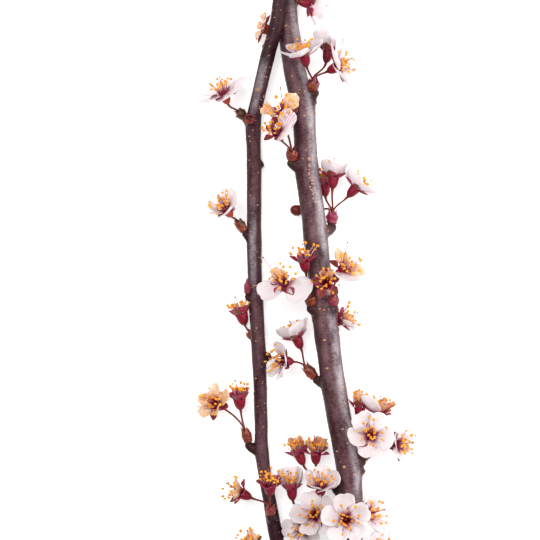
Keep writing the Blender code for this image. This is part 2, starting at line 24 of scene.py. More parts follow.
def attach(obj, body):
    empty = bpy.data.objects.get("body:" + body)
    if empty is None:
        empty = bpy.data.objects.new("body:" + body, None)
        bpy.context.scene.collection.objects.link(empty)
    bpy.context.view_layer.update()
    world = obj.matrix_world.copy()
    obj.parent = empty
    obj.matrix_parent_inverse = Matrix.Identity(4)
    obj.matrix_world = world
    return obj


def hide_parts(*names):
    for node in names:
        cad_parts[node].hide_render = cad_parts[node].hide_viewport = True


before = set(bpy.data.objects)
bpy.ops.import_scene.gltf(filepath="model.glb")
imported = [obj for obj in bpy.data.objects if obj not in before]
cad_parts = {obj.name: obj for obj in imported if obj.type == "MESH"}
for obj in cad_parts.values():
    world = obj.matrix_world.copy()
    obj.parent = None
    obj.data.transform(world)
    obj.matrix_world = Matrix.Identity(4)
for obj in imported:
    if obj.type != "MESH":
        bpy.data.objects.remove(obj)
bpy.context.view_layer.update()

# Without a seed, the noise vectors that crumple the petals would differ from run to run.
noise.seed_set(7)
print("nodes in the packed model:", len(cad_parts))

# %% [markdown]
# ## Where everything is
#
# The fine pieces need the routes of the stems, the spurs and the way that every blossom faces, and
# these can't be read back from a mesh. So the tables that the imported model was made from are
# written again here, in millimetres. All modelling is done in millimetres too, because the sizes
# of a flower are easy to judge in them, and each finished mesh is scaled to metres once.

# %% The stems, their spurs and the old knobs
MM = 0.001

# The middle of the branch's box, written from the point that the places below are written from.
BOX_MIDDLE = (3.5, -43.7)

# Points along the two stems: x, y, height of the centre, radius.
MAIN_STEM = [
    (11.5, -238, 6.9, 6.8), (14.2, -212, 7.3, 7.2), (19.5, -185, 6.8, 6.5),
    (24, -158, 6.3, 6.2), (25.3, -130, 5.7, 6.15), (25.1, -104, 7.2, 6.1),
    (22.3, -87.5, 8.6, 6.3), (17.5, -62.5, 10.8, 6.1), (13.8, -36, 12.6, 6.1),
    (11.3, -15, 13.7, 6.3), (9.4, 1, 14.3, 6), (6.3, 29, 14.6, 6),
    (3.7, 47, 14.2, 5.9), (2.4, 67, 13.1, 5.7), (1.2, 84, 11.7, 6),
    (-2.7, 100, 10, 5.6), (-6, 124, 7.6, 5.4), (-8.6, 146, 4.95, 5.3),
]
SIDE_SHOOT = [
    (14, -213, 7.3, 4.2), (6.5, -194, 7.5, 3.9), (-1.5, -175, 7.6, 3.7),
    (-8, -152, 8, 3.5), (-12, -134, 8.3, 3.4), (-15.3, -115, 8.7, 3.4),
    (-18.8, -94, 9.1, 3.4), (-19.6, -72, 9.6, 3.4), (-20.2, -50, 9.8, 3.5),
    (-21.6, -24, 8.4, 3.7), (-22.6, -4, 5.6, 3.7), (-23, 12, 3.45, 3.75),
    (-23, 28, 3.9, 3.75), (-23, 44, 4.6, 3.75), (-23.2, 60, 5.3, 3.7),
    (-23.3, 74, 6.3, 3.8), (-21.4, 85, 8.6, 3.6), (-16.2, 106.5, 13.2, 3.6),
    (-12.4, 120, 15.5, 3.5), (-10.2, 135, 16.9, 3.4), (-8.6, 151, 17.9, 3.3),
]
STEMS = {"main": MAIN_STEM, "shoot": SIDE_SHOOT}

# A spur leaves its stem at root_y and ends at tip, where bud scales with the given mouth stand.
Spur = namedtuple("Spur", "stem root_y tip mouth radius")
MAIN_SPURS = {
    "a": (132, (-0.8, 136.8, 5), (1.2, 139.6, 5.2), 1.7),
    "b": (84, (6.6, 89.5, 15.8), (6, 95.3, 18.4), 2.2),
    "c": (50, (-4, 54.5, 19), (-4.4, 60, 21.2), 2.1),
    "d": (17, (15.8, 23, 9.5), (16.5, 30, 8.8), 2.1),
    "e": (-20.5, (5.4, -17.5, 20.3), (4.6, -12.3, 21.8), 2.1),
    "f": (-20.5, (16.4, -17.5, 20.8), (16.2, -12, 22.6), 2.1),
    "g": (-34, (17, -31, 5.4), (18.4, -28.3, 4.9), 1.6),
    "h": (-58, (7.7, -54, 9), (2.2, -47.6, 9), 1.9),
    "i": (-100, (31.4, -94.5, 10.5), (34.2, -89.5, 11.5), 2.2),
    "j": (-135, (24.8, -133.5, 14.6), (24.3, -131, 18.5), 2.2),
    "k": (-125, (17.2, -120.5, 9.4), (13, -117.3, 10.7), 2),
    "l": (-115, (17.4, -109.5, 5.6), (13.8, -105, 5.6), 1.9),
    "m": (-152, (32.2, -147.5, 8.2), (34.7, -144.3, 9.5), 1.9),
}
SHOOT_SPURS = {
    "n": (106, (-16.8, 110.5, 8.8), (-17, 114, 7.6), 1.25),
    "o": (71, (-27.8, 76.5, 7.6), (-31.3, 80.5, 9.2), 1.8),
    "p": (14, (-28, 19.5, 6.2), (-31.6, 25.6, 7.6), 1.7),
    "q": (-38, (-24, -34.5, 4.6), (-25.7, -30.5, 4), 1.4),
    "r": (-92, (-25.8, -86.5, 9), (-27.8, -79.5, 9.5), 1.8),
    "s": (-125, (-14.6, -122, 14), (-15, -117, 16.2), 1.8),
    "t": (-155, (-13.2, -151.5, 8.5), (-16.6, -148, 9), 1.5),
    "bud_u": (-14, (-26.4, -12, 10.6), (-26.4, -4.6, 10.8), 1.1),
    "bud_v": (-132, (-7.2, -130, 8.4), (-6.4, -125.3, 8.4), 1.1),
    "bud_w": (73, (-25.4, 74.6, 11), (-25.6, 76, 13.8), 1.7),
}
SPURS = {name: Spur("main", *row) for name, row in MAIN_SPURS.items()}
SPURS |= {name: Spur("shoot", *row) for name, row in SHOOT_SPURS.items()}

# Bare knobs of wood where older spurs stood.
Knob = namedtuple("Knob", "stem root_y tip radius")
KNOBS = [
    Knob("shoot", 51, (-18.4, 54, 4.2), 1.7),
    Knob("shoot", -46, (-14.6, -42.5, 9.9), 1.7),
    Knob("main", 83, (8, 85.5, 12.5), 2.6),
    Knob("main", -103, (31.8, -99, 8.6), 2.8),
    Knob("main", -180, (27.6, -177, 8), 2.2),
    Knob("main", -228, (4.2, -223, 8.6), 2.4),
]

# %% [markdown]
# A blossom's throat is the middle of its cup's mouth. The table says which spur it grows from,
# where its throat is, which way it faces, how far its petals have opened and what has become of
# each of them.

# %% The blossoms
# A blossom of a spur's spray has its throat at throat and faces the way faces. Its size is its
# petals' share of the usual size, and they rise by opening degrees from flat. The first of them is
# seen at the angle turn, and the others follow counterclockwise: w is fresh, t is withered, a dot
# has fallen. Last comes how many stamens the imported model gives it. The name of a blossom starts
# with its spur's letter.
Blossom = namedtuple("Blossom", "spur throat faces size opening turn petals stamens")
BLOSSOM_ROWS = {
    "a1": ((4.6, 133.4, 12), (0.85, -0.1, -0.25), 1, 30, 10, "wwwww", 3),
    "b1": ((1.7, 105.8, 25.4), (-0.24, 0.92, 0.31), 1.05, 27, 196, "wwwww", 4),
    "b2": ((14.2, 109.4, 12), (0.2, 0.95, -0.05), 1.1, 58, 0, "wwwww", 3),
    "b3": ((18.4, 100.6, 21), (0.84, 0.36, 0.42), 1.28, 26, 80, "wwwww", 5),
    "c1": ((-11.4, 67.8, 26.8), (-0.35, 0.6, 0.7), 1.15, 30, 40, "w...w", 5),
    "c2": ((-8.6, 77.6, 20.85), (-0.1, 0.55, 0.83), 1.5, 16, 55, "t.t..", 3),
    "d1": ((27.8, 41, 13), (0.65, 0.72, 0.1), 1.05, 34, 30, "wwwww", 3),
    "d2": ((16.8, 46.5, 13), (0.1, 0.97, 0), 0.92, 60, 0, "wwwww", 3),
    "d3": ((12.4, 42.8, 6.8), (-0.08, 0.97, -0.02), 1.05, 68, 50, "tt...", 3),
    "d4": ((-3.6, 30.4, 5.2), (-0.97, 0.1, 0.1), 1, 78, 0, "bud", 0),
    "e1": ((-8, -6.6, 26), (-0.1, 0.64, 0.76), 1.28, -8, 200, "w.w.t", 5),
    "e2": ((1.8, 4.4, 24.5), (-0.15, 0.95, 0.3), 1, 66, 0, ".....", 5),
    "f1": ((12.8, -6.6, 29.2), (-0.05, 0.2, 0.97), 0.9, 30, 62, "tt...", 5),
    "f2": ((21.2, 0.2, 23.5), (0.42, 0.6, 0.65), 1.25, 26, 104, "t.wtw", 5),
    "g1": ((20.6, -25, 6.8), (0.85, 0.4, 0.2), 0.8, 45, 0, "wt..w", 3),
    "h1": ((-1.6, -34, 10.5), (-0.36, 0.9, 0.05), 1, 50, 10, "wwwww", 3),
    "h2": ((-8.4, -45.2, 16.2), (-0.84, 0.1, 0.53), 0.9, 30, 80, "w.www", 3),
    "i1": ((34.6, -81.9, 24), (0.02, 0.42, 0.9), 1.1, 20, 51, "wwwww", 5),
    "i2": ((49, -87.5, 13.5), (0.8, 0.1, 0.58), 0.95, 28, 75, "wwwww", 4),
    "i3": ((39.6, -71.6, 12), (0.15, 0.94, 0.15), 1.2, 48, 0, "tt.wt", 3),
    "i4": ((30.1, -69.1, 8.6), (0.04, 0.97, -0.02), 1.05, 74, 36, "twt..", 3),
    "j1": ((22.2, -122.4, 28.6), (0, 0.14, 0.98), 1.1, 14, 95, "wwwww", 5),
    "j2": ((34.2, -121.7, 17), (0.72, 0.3, 0.45), 1.15, 30, 75, "wwwww", 4),
    "j3": ((2, -129.2, 13), (-0.4, -0.05, 0.9), 0.98, 16, 108, "wwww.", 4),
    "k1": ((7.4, -121.8, 19.4), (-0.2, 0.45, 0.87), 1.05, 17, 106, "wwwww", 4),
    "k2": ((-4.2, -109.3, 12.5), (-0.1, 0.97, 0.1), 1.1, 70, 0, "www..", 3),
    "k3": ((10.4, -108, 15.2), (0, 0.82, 0.56), 0.95, 42, 18, "wwwww", 3),
    "l1": ((-0.4, -92.5, 7.2), (-0.36, 0.93, 0), 1.2, 64, 0, "ttt..", 3),
    "l2": ((8, -91.9, 9.9), (0, 0.97, 0.24), 1.2, 44, 22, "tt.t.", 3),
    "m1": ((41.5, -141, 14.5), (0.35, 0.7, 0.6), 1, 30, 0, "wwwww", 3),
    "n1": ((-18.2, 121.2, 9.2), (-0.92, 0.38, 0.1), 0.85, 4, 100, "ttttt", 0),
    "o1": ((-38.2, 88, 14.5), (-0.36, 0.82, 0.44), 1.18, 12, 0, "wwwww", 5),
    "p1": ((-37, 30.5, 14), (-0.45, 0.6, 0.65), 0.95, 36, 0, "wwwww", 5),
    "q1": ((-29.4, -22, 7), (-0.3, 0.95, 0.05), 1, 72, 0, ".....", 4),
    "r1": ((-42, -67, 14), (-0.5, 0.35, 0.78), 1.25, 20, 10, "ttttt", 4),
    "r2": ((-30.3, -64, 13.5), (-0.1, 0.97, 0.2), 1, 74, 0, ".....", 4),
    "s1": ((-15, -106.5, 20.5), (0.02, 0.88, 0.45), 1, 62, 0, ".....", 5),
    "s2": ((-29.5, -111.5, 13), (-0.85, 0.42, 0.3), 0.95, 40, 0, "t...t", 4),
    "t1": ((-25, -138.5, 12.5), (-0.3, 0.85, 0.4), 0.95, 40, 0, "tt.tt", 3),
}
BLOSSOMS = {name: Blossom(name[0], *row) for name, row in BLOSSOM_ROWS.items()}

# %% Which way a piece stands
def at(place):
    """A place written as those above, in millimetres from the branch's origin."""
    x, y, z = place
    return Vector((x - BOX_MIDDLE[0], y - BOX_MIDDLE[1], z))


def facing(throat, way, turn):
    """The frame at throat with Z along way and X towards the side seen at the angle turn."""
    z_axis = Vector(way).normalized()
    side = Vector((cos(radians(turn)), sin(radians(turn)), 0))
    x_axis = (side - side.dot(z_axis) * z_axis).normalized()
    y_axis = z_axis.cross(x_axis)
    rotation = Matrix((x_axis, y_axis, z_axis)).transposed().to_4x4()
    return Matrix.Translation(at(throat)) @ rotation


PLACES = {name: facing(b.throat, b.faces, b.turn) for name, b in BLOSSOMS.items()}


def stem_point(stem, y):
    """Centre and radius of a stem where it passes y."""
    points = STEMS[stem]
    for (xa, ya, za, ra), (xb, yb, zb, rb) in zip(points, points[1:]):
        if ya <= y <= yb:
            t = (y - ya) / (yb - ya)
            return Vector((xa + t * (xb - xa), y, za + t * (zb - za))), ra + t * (rb - ra)
    raise ValueError("the stem does not reach that far")


def spur_heading(spur):
    return (Vector(spur.mouth) - Vector(spur.tip)).normalized()


# %% [markdown]
# ## Tools for modelling
#
# Three tools make nearly every piece. A smooth route turns a few points into a fine curve. A sweep
# extrudes a ring of corners along a route. A stamp adds a copy of a small template and moves each
# of its corners by a function, which is how one square grid becomes a petal, a sepal or a scale.
# Each stamped corner also keeps where it was in its template, across and along, and a tone that
# differs from copy to copy. The materials read this, so veins run along a petal whichever way it
# faces.

# %% From a bmesh to a mesh, and into the scene
def into_mesh(name, bm):
    mesh = bpy.data.meshes.new(name)
    bm.to_mesh(mesh)
    bm.free()
    return mesh


def into_scene(name, data):
    thing = bpy.data.objects.new(name, data)
    bpy.context.scene.collection.objects.link(thing)
    return thing


# %% Routes and sweeps
def smooth_route(points, step):
    """A smooth curve through points of x, y, z and radius, with a point about every step."""
    knots = [Vector(p) for p in points]
    knots = [2 * knots[0] - knots[1], *knots, 2 * knots[-1] - knots[-2]]
    route = []
    for a, b, c, d in zip(knots, knots[1:], knots[2:], knots[3:]):
        count = max(1, round((c - b).length / step))
        for k in range(count):
            t = k / count
            bend = (2 * a - 5 * b + 4 * c - d) * t**2 + (3 * b - a - 3 * c + d) * t**3
            route.append(b + ((c - a) * t + bend) / 2)
    return [*route, knots[-2]]


def sweep(bm, route, sides):
    """Extrudes a ring of corners along a route of places with radii, and closes both ends."""
    tube = bmesh.new()
    headings = [(b - a).xyz.normalized() for a, b in zip(route, route[1:])]
    bends = [(a + b).normalized() for a, b in zip(headings, headings[1:])]
    headings = [headings[0], *bends, headings[-1]]
    rotation = Vector((0, 0, 1)).rotation_difference(headings[0])
    before, matrix, edges = headings[0], None, []
    for station, heading in zip(route, headings):
        rotation = before.rotation_difference(heading) @ rotation
        before = heading
        turned = Matrix.LocRotScale(station.xyz, rotation, Vector((1, 1, 1)) * station.w)
        if matrix is None:
            bmesh.ops.create_circle(
                tube, cap_ends=True, segments=sides, radius=1, matrix=turned
            )
            edges = tube.edges[:]
        else:
            made = bmesh.ops.extrude_edge_only(tube, edges=edges)["geom"]
            corners = [g for g in made if isinstance(g, bmesh.types.BMVert)]
            edges = [g for g in made if isinstance(g, bmesh.types.BMEdge) and g.is_boundary]
            bmesh.ops.transform(tube, matrix=turned @ matrix.inverted(), verts=corners)
        matrix = turned
    bmesh.ops.contextual_create(tube, geom=edges)
    mesh = into_mesh("tube", tube)
    bm.from_mesh(mesh)
    bpy.data.meshes.remove(mesh)


# %% Stamps
def new_bmesh():
    """An empty bmesh whose corners can hold a place in a template and a tone."""
    bm = bmesh.new()
    bm.verts.layers.float_vector.new("place")
    return bm


def keep(name, bm):
    """Keeps a bmesh as a template mesh."""
    mesh = into_mesh(name, bm)
    print("template", name, "has", len(mesh.polygons), "faces")
    return mesh


def stamp(bm, template, move, tone=0.5, place=Matrix()):
    """Adds a copy of a template at place, with each corner moved by the function move."""
    first = len(bm.verts)
    bm.from_mesh(template)
    bm.verts.ensure_lookup_table()
    layer = bm.verts.layers.float_vector["place"]
    for corner in bm.verts[first:]:
        corner[layer] = (corner.co.x, corner.co.y, tone)
        corner.co = place @ move(*corner.co)


def drawn(draw, low, high):
    """A vector of three draws."""
    return Vector([draw.uniform(low, high) for _ in range(3)])


def ease(value):
    """A smooth step from 0 to 1."""
    value = min(1.0, max(0.0, value))
    return value * value * (3 - 2 * value)


# %% [markdown]
# A finished piece goes into the scene through one function. It scales the mesh to metres, leaves
# the object at the origin, makes it ride on the branch, names the finish that it takes and hides
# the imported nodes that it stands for.

# %% Finishing a piece
pieces = {}
materials = {}


def finish_piece(name, bm, material, nodes=(), thickness=0.0):
    """Makes the piece's object. A thickness in millimetres turns open blades into solid ones."""
    bmesh.ops.scale(bm, vec=(MM, MM, MM), verts=bm.verts)
    mesh = into_mesh(name, bm)
    mesh.shade_smooth()
    mesh.materials.append(materials[material])
    piece = into_scene(name, mesh)
    if thickness:
        solid = piece.modifiers.new("thickness", "SOLIDIFY")
        solid.thickness = thickness * MM
        solid.offset = 0.0
    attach(piece, "root")
    if nodes:
        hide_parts(*nodes)
    pieces[name] = piece
    return piece


# %% [markdown]
# ## Templates
#
# A blade starts as a square grid whose corners are pulled in to a disc, so that petals, sepals and
# scales all get a round edge with even faces and no fan of thin triangles at the tip. Its x goes
# from -1 to 1 across and its y from 0 at the root to 1 at the tip. A thread is a ring extruded
# along y. An anther is a sphere pinched along its middle into two lobes, and a corky spot is a
# plain one. The cup is a profile spun round, up its outside and down into the hollow, and a leaf
# scar is a flat, rimmed one.

# %% Blades, threads, anthers and the cup
def blade_template(name, columns, rows):
    bm = bmesh.new()
    bmesh.ops.create_grid(bm, x_segments=columns, y_segments=rows, size=1.0)
    for corner in bm.verts:
        x, y, _ = corner.co
        across = x * sqrt(1 - y * y / 2)
        along = (1 + y * sqrt(1 - x * x / 2)) / 2
        corner.co = (across, along, 0)
    return keep(name, bm)


def thread_template(name, sides, spans):
    bm = bmesh.new()
    sweep(bm, [Vector((0, k / spans, 0, 1)) for k in range(spans + 1)], sides)
    bmesh.ops.recalc_face_normals(bm, faces=bm.faces)
    return keep(name, bm)


def anther_template(name):
    bm = bmesh.new()
    lay_down = Matrix.Rotation(radians(90), 4, "X")
    bmesh.ops.create_uvsphere(bm, u_segments=8, v_segments=5, radius=1, matrix=lay_down)
    for corner in bm.verts:
        x, y, z = corner.co
        pinch = 1 - 0.35 * exp(-((x / 0.35) ** 2))
        corner.co = (0.8 * x, y, 0.66 * z * pinch)
    return keep(name, bm)


def spot_template(name):
    bm = bmesh.new()
    bmesh.ops.create_uvsphere(bm, u_segments=8, v_segments=5, radius=1)
    return keep(name, bm)


def turned_template(name, profile, steps):
    """A template spun round Z from corners of radius and height."""
    bm = bmesh.new()
    corners = [bm.verts.new((radius, 0, height)) for radius, height in profile]
    edges = [bm.edges.new(pair) for pair in zip(corners, corners[1:])]
    bmesh.ops.spin(
        bm, geom=[*corners, *edges], axis=(0, 0, 1), angle=tau, steps=steps, use_merge=True
    )
    bmesh.ops.remove_doubles(bm, verts=bm.verts, dist=1e-4)
    bmesh.ops.recalc_face_normals(bm, faces=bm.faces)
    return keep(name, bm)


CUP_PROFILE = [
    (0.0, -6.1), (0.72, -6.0), (1.2, -5.6), (1.85, -4.7), (2.35, -3.4), (2.56, -2.1), (2.66, -1.1),
    (2.86, -0.3), (2.82, 0.0), (2.5, -0.1), (2.25, -0.8), (2.1, -1.8), (1.6, -2.9), (0.8, -3.5),
    (0.0, -3.6),
]
SCAR_PROFILE = [(0.0, 0.12), (0.35, 0.1), (0.5, 0.0), (0.8, 0.24), (1.0, 0.1), (1.15, -0.3)]
PETAL_BLADE = blade_template("petal_blade", 14, 18)
SMALL_BLADE = blade_template("small_blade", 8, 11)
THREAD = thread_template("thread", 4, 5)
ANTHER = anther_template("anther")
SPOT = spot_template("spot")
CUP = turned_template("cup", CUP_PROFILE, 20)
SCAR = turned_template("scar", SCAR_PROFILE, 12)

# %% [markdown]
# ## Finishes
#
# Each finish is a small graph of shader nodes. Two helpers let it read like a recipe: a signal can
# be added, multiplied, stepped or mixed, and every such word adds a node. The paint is a ground
# colour and coats over it, each as strong as its share. Patterns on stamped pieces follow their
# place in the template. Patterns on the bark follow the stem, as told further down.

# %% A helper for shader graphs
class Signal:
    """A number, place or colour on its way through a finish. Sums and products add Math nodes."""

    def __init__(self, graph, socket):
        self.graph, self.socket = graph, socket

    def apply(self, operation, *others):
        return self.graph.add("Math", dict(enumerate((self, *others))), 0, operation=operation)

    def __add__(self, other):
        return self.apply("ADD", other)

    def __mul__(self, other):
        return self.apply("MULTIPLY", other)

    def __truediv__(self, other):
        return self.apply("DIVIDE", other)

    def step(self, low, high):
        """0 below low, 1 above high, smooth between."""
        inputs = {"Value": self, "From Min": low, "From Max": high}
        return self.graph.add("MapRange", inputs, "Result", interpolation_type="SMOOTHSTEP")

    def between(self, one, other):
        """The number one where the signal is 0, and other where it is 1."""
        return self.graph.add("MapRange", {"Value": self, "To Min": one, "To Max": other}, "Result")

    def mix(self, one, other):
        """The same for two colours."""
        return self.graph.add("Mix", {0: self, 6: one, 7: other}, 2, data_type="RGBA")

    def part(self, axis):
        return self.graph.add("SeparateXYZ", {"Vector": self}, axis)

    def stretch(self, x, y, z):
        return self.graph.add("Mapping", {"Vector": self, "Scale": (x, y, z)}, "Vector")

    def noise(self, scale, detail=4.0, roughness=0.55):
        inputs = {"Vector": self, "Scale": scale, "Detail": detail, "Roughness": roughness}
        return self.graph.add("TexNoise", inputs, "Fac")


class Graph:
    """A material's nodes, with short calls to add to them."""

    def __init__(self, name, roughness, **values):
        material = materials[name] = bpy.data.materials.new(name)
        material.use_nodes = True
        self.tree = material.node_tree
        self.shader = self.tree.nodes["Principled BSDF"].inputs
        for socket, value in {"Roughness": roughness, **values}.items():
            self.feed(self.shader[socket.replace("_", " ")], value)
        self.millimetres = self.add("TexCoord", {}, "Object").stretch(1 / MM, 1 / MM, 1 / MM)

    def add(self, kind, inputs, output, **settings):
        node = self.tree.nodes.new("ShaderNode" + kind)
        for setting, value in settings.items():
            setattr(node, setting, value)
        for socket, value in inputs.items():
            self.feed(node.inputs[socket], value)
        return Signal(self, node.outputs[output])

    def feed(self, socket, value):
        """Links a signal or sets a value. A colour of three numbers is as seen on a screen."""
        if isinstance(value, Signal):
            self.tree.links.new(value.socket, socket)
        elif socket.type == "RGBA" and len(value) == 3:
            socket.default_value = seen(*value)
        else:
            socket.default_value = value

    def attribute(self, name, output):
        return self.add("Attribute", {}, output, attribute_name=name)

    def blade(self):
        """Across, along and tone of a stamped piece."""
        place = self.attribute("place", "Vector")
        return place.part("X"), place.part("Y"), place.part("Z")

    def noise(self, scale, **settings):
        return self.millimetres.noise(scale, **settings)

    def bump(self, height, distance, strength):
        """Bump of a distance in millimetres."""
        inputs = {"Height": height, "Distance": distance * MM, "Strength": strength}
        self.feed(self.shader["Normal"], self.add("Bump", inputs, "Normal"))

    def paint(self, ground, *coats):
        """A ground colour, and over it coats of a share and a colour each."""
        for share, colour in coats:
            ground = share.mix(ground, colour)
        self.feed(self.shader["Base Color"], ground)


def seen(red, green, blue):
    """A colour as it looks on a screen, 0 to 255, as the linear values that a shader takes."""
    linear = [((c / 255 + 0.055) / 1.055) ** 2.4 for c in (red, green, blue)]
    return (*linear, 1.0)

# %% [markdown]
# ### Petals
#
# A fresh petal is almost white, with fine pink veins that fan out from its claw and a pink blush
# where it leaves the cup. Dividing across by along gives lines that meet behind the root, and a
# sine of that makes the veins. One petal shows its veins as strong purple lines. A withered petal
# is tan and crumpled, darker in its veins and paler at its edge, and on some blossoms rusty. All
# let some light through, which the subsurface weight stands for.

# %% Petal finishes
FAN_REACH = 0.45
PETAL_GLOW = (1.0, 0.85, 0.85)


def veins(across, along, count, waver):
    """Thin lines that fan out from a blade's root, 1 on a vein and 0 between."""
    return (across / (along + FAN_REACH) * count + waver).apply("SINE").step(0.35, 1.0)


def white_petal(name, weight, scale):
    """A finish that lets warm light through, by weight and to a depth in metres."""
    glow = {"Subsurface_Weight": weight, "Subsurface_Scale": scale, "Subsurface_Radius": PETAL_GLOW}
    return Graph(name, 0.5, **glow)


def make_petal_finishes():
    graph = white_petal("petal_fresh", 0.5, 0.003)
    across, along, tone = graph.blade()
    lines = veins(across, along, 34.0, graph.noise(0.5) * 7.0)
    graph.paint(
        graph.noise(0.22).step(0.35, 0.7).mix((248, 238, 238), (242, 225, 229)),
        (tone * 0.35, (230, 208, 214)),
        (lines * along.step(0.9, 0.1) * 0.7, (208, 160, 178)),
        (along.step(0.24, 0.07) * 0.9, (150, 30, 66)),
    )
    graph.bump(lines * -0.3 + graph.noise(1.4), 0.12, 0.6)

    graph = white_petal("petal_veined", 0.2, 0.002)
    across, along, _ = graph.blade()
    lines = veins(across, along + 0.8, 44.0, graph.noise(0.3) * 5.0)
    graph.paint(
        graph.noise(0.4).mix((246, 234, 240), (238, 218, 227)),
        (lines * 0.65, (186, 98, 144)),
        (along.step(0.26, 0.05), (150, 30, 70)),
    )
    graph.bump(lines * -1.0, 0.12, 0.6)

    graph = Graph("petal_withered", 0.65, Subsurface_Weight=0.1, Subsurface_Scale=0.0015)
    across, along, tone = graph.blade()
    lines = veins(across, along, 30.0, graph.noise(0.7) * 9.0)
    graph.paint(
        graph.noise(0.45).step(0.3, 0.7).mix((248, 214, 172), (236, 168, 110)),
        (tone.step(0.2, 0.0), (204, 122, 84)),
        (tone * 0.7, (255, 230, 206)),
        (along.step(0.72, 1.0) * 0.6, (252, 232, 208)),
        (lines * 0.5, (186, 108, 62)),
        (along.step(0.4, 0.05), (168, 60, 50)),
    )
    graph.bump(graph.noise(1.3), 0.5, 0.8)


make_petal_finishes()

# %% [markdown]
# ### Cups, sepals, stalks and scales
#
# The cup and its sepals are deep crimson with a satin skin. A sepal is browner in its middle and
# brighter at its rim. Stalks are a dark red-brown. Bud scales are papery: orange-brown to crimson
# with a pale ragged rim, streaked along their length.

# %% Finishes of the cup, the stalk and the scales
def make_cup_and_scale_finishes():
    graph = Graph("cup", 0.42, Specular_IOR_Level=0.3)
    _, along, tone = graph.blade()
    graph.paint(
        graph.noise(0.9).step(0.3, 0.7).mix((102, 6, 28), (154, 20, 50)),
        (along.step(0.45, 0.0), (108, 28, 26)),
        (tone.step(0.7, 0.9), (178, 66, 50)),
    )
    graph.bump(graph.noise(2.0), 0.12, 0.5)

    graph = Graph("sepal", 0.42, Specular_IOR_Level=0.3)
    across, along, tone = graph.blade()
    browned = across.apply("ABSOLUTE").step(0.75, 0.3) * along.step(0.1, 0.4) * tone.step(-0.2, 0.6)
    graph.paint(graph.noise(0.8).mix((130, 14, 46), (192, 50, 96)), (browned, (116, 70, 38)))
    graph.bump(veins(across, along, 22.0, graph.noise(0.8)) + graph.noise(2.0), 0.12, 0.6)

    graph = Graph("stalk", 0.42, Specular_IOR_Level=0.35)
    graph.paint(graph.noise(0.7).mix((78, 14, 14), (142, 52, 34)))
    graph.bump(graph.noise(2.4), 0.1, 0.5)

    graph = Graph("bud_scale", 0.36, Specular_IOR_Level=0.5)
    _, along, tone = graph.blade()
    streaks = graph.attribute("place", "Vector").noise(5.0)
    graph.paint(
        streaks.mix((62, 16, 16), (112, 34, 20)),
        (graph.noise(0.6).step(0.35, 0.65), (150, 60, 24)),
        (tone.step(0.22, 0.1), streaks.mix((44, 24, 26), (92, 58, 50))),
        (tone.step(0.5, 0.8), streaks.mix((96, 14, 36), (176, 52, 92))),
        (along.step(0.75, 1.0) * 0.3, (186, 100, 56)),
    )
    graph.bump(streaks, 0.2, 0.6)

    graph = Graph("bud_core", 0.7)
    graph.paint(graph.noise(1.2).mix((52, 24, 24), (84, 40, 34)))
    graph.bump(graph.noise(2.0), 0.2, 0.6)


make_cup_and_scale_finishes()

# %% [markdown]
# ### Stamens and pistils
#
# Filaments are magenta where they leave the cup and pale pink above. Anthers are golden orange and
# grainy with pollen. A low tone makes an anther browner, as those that have shed their pollen are.

# %% Finishes of the stamens and pistils
def make_stamen_finishes():
    graph = Graph("filament", 0.45, Subsurface_Weight=0.1, Subsurface_Scale=0.0005)
    _, along, tone = graph.blade()
    top = tone.mix((206, 96, 130), (244, 206, 214))
    graph.paint(along.step(0.25, 0.85).mix((142, 26, 58), top))

    graph = Graph("anther", 0.55)
    tone = graph.blade()[2]
    grains = graph.noise(5.0, detail=2.0)
    graph.paint(
        tone.mix((240, 134, 14), (255, 196, 40)),
        (grains.step(0.45, 0.7), (232, 120, 16)),
        (tone.step(0.14, 0.04), (150, 74, 26)),
    )
    graph.bump(grains, 0.12, 0.8)

    graph = Graph("pistil", 0.4)
    graph.paint(graph.blade()[1].step(0.0, 0.9).mix((132, 18, 58), (184, 66, 88)))


make_stamen_finishes()
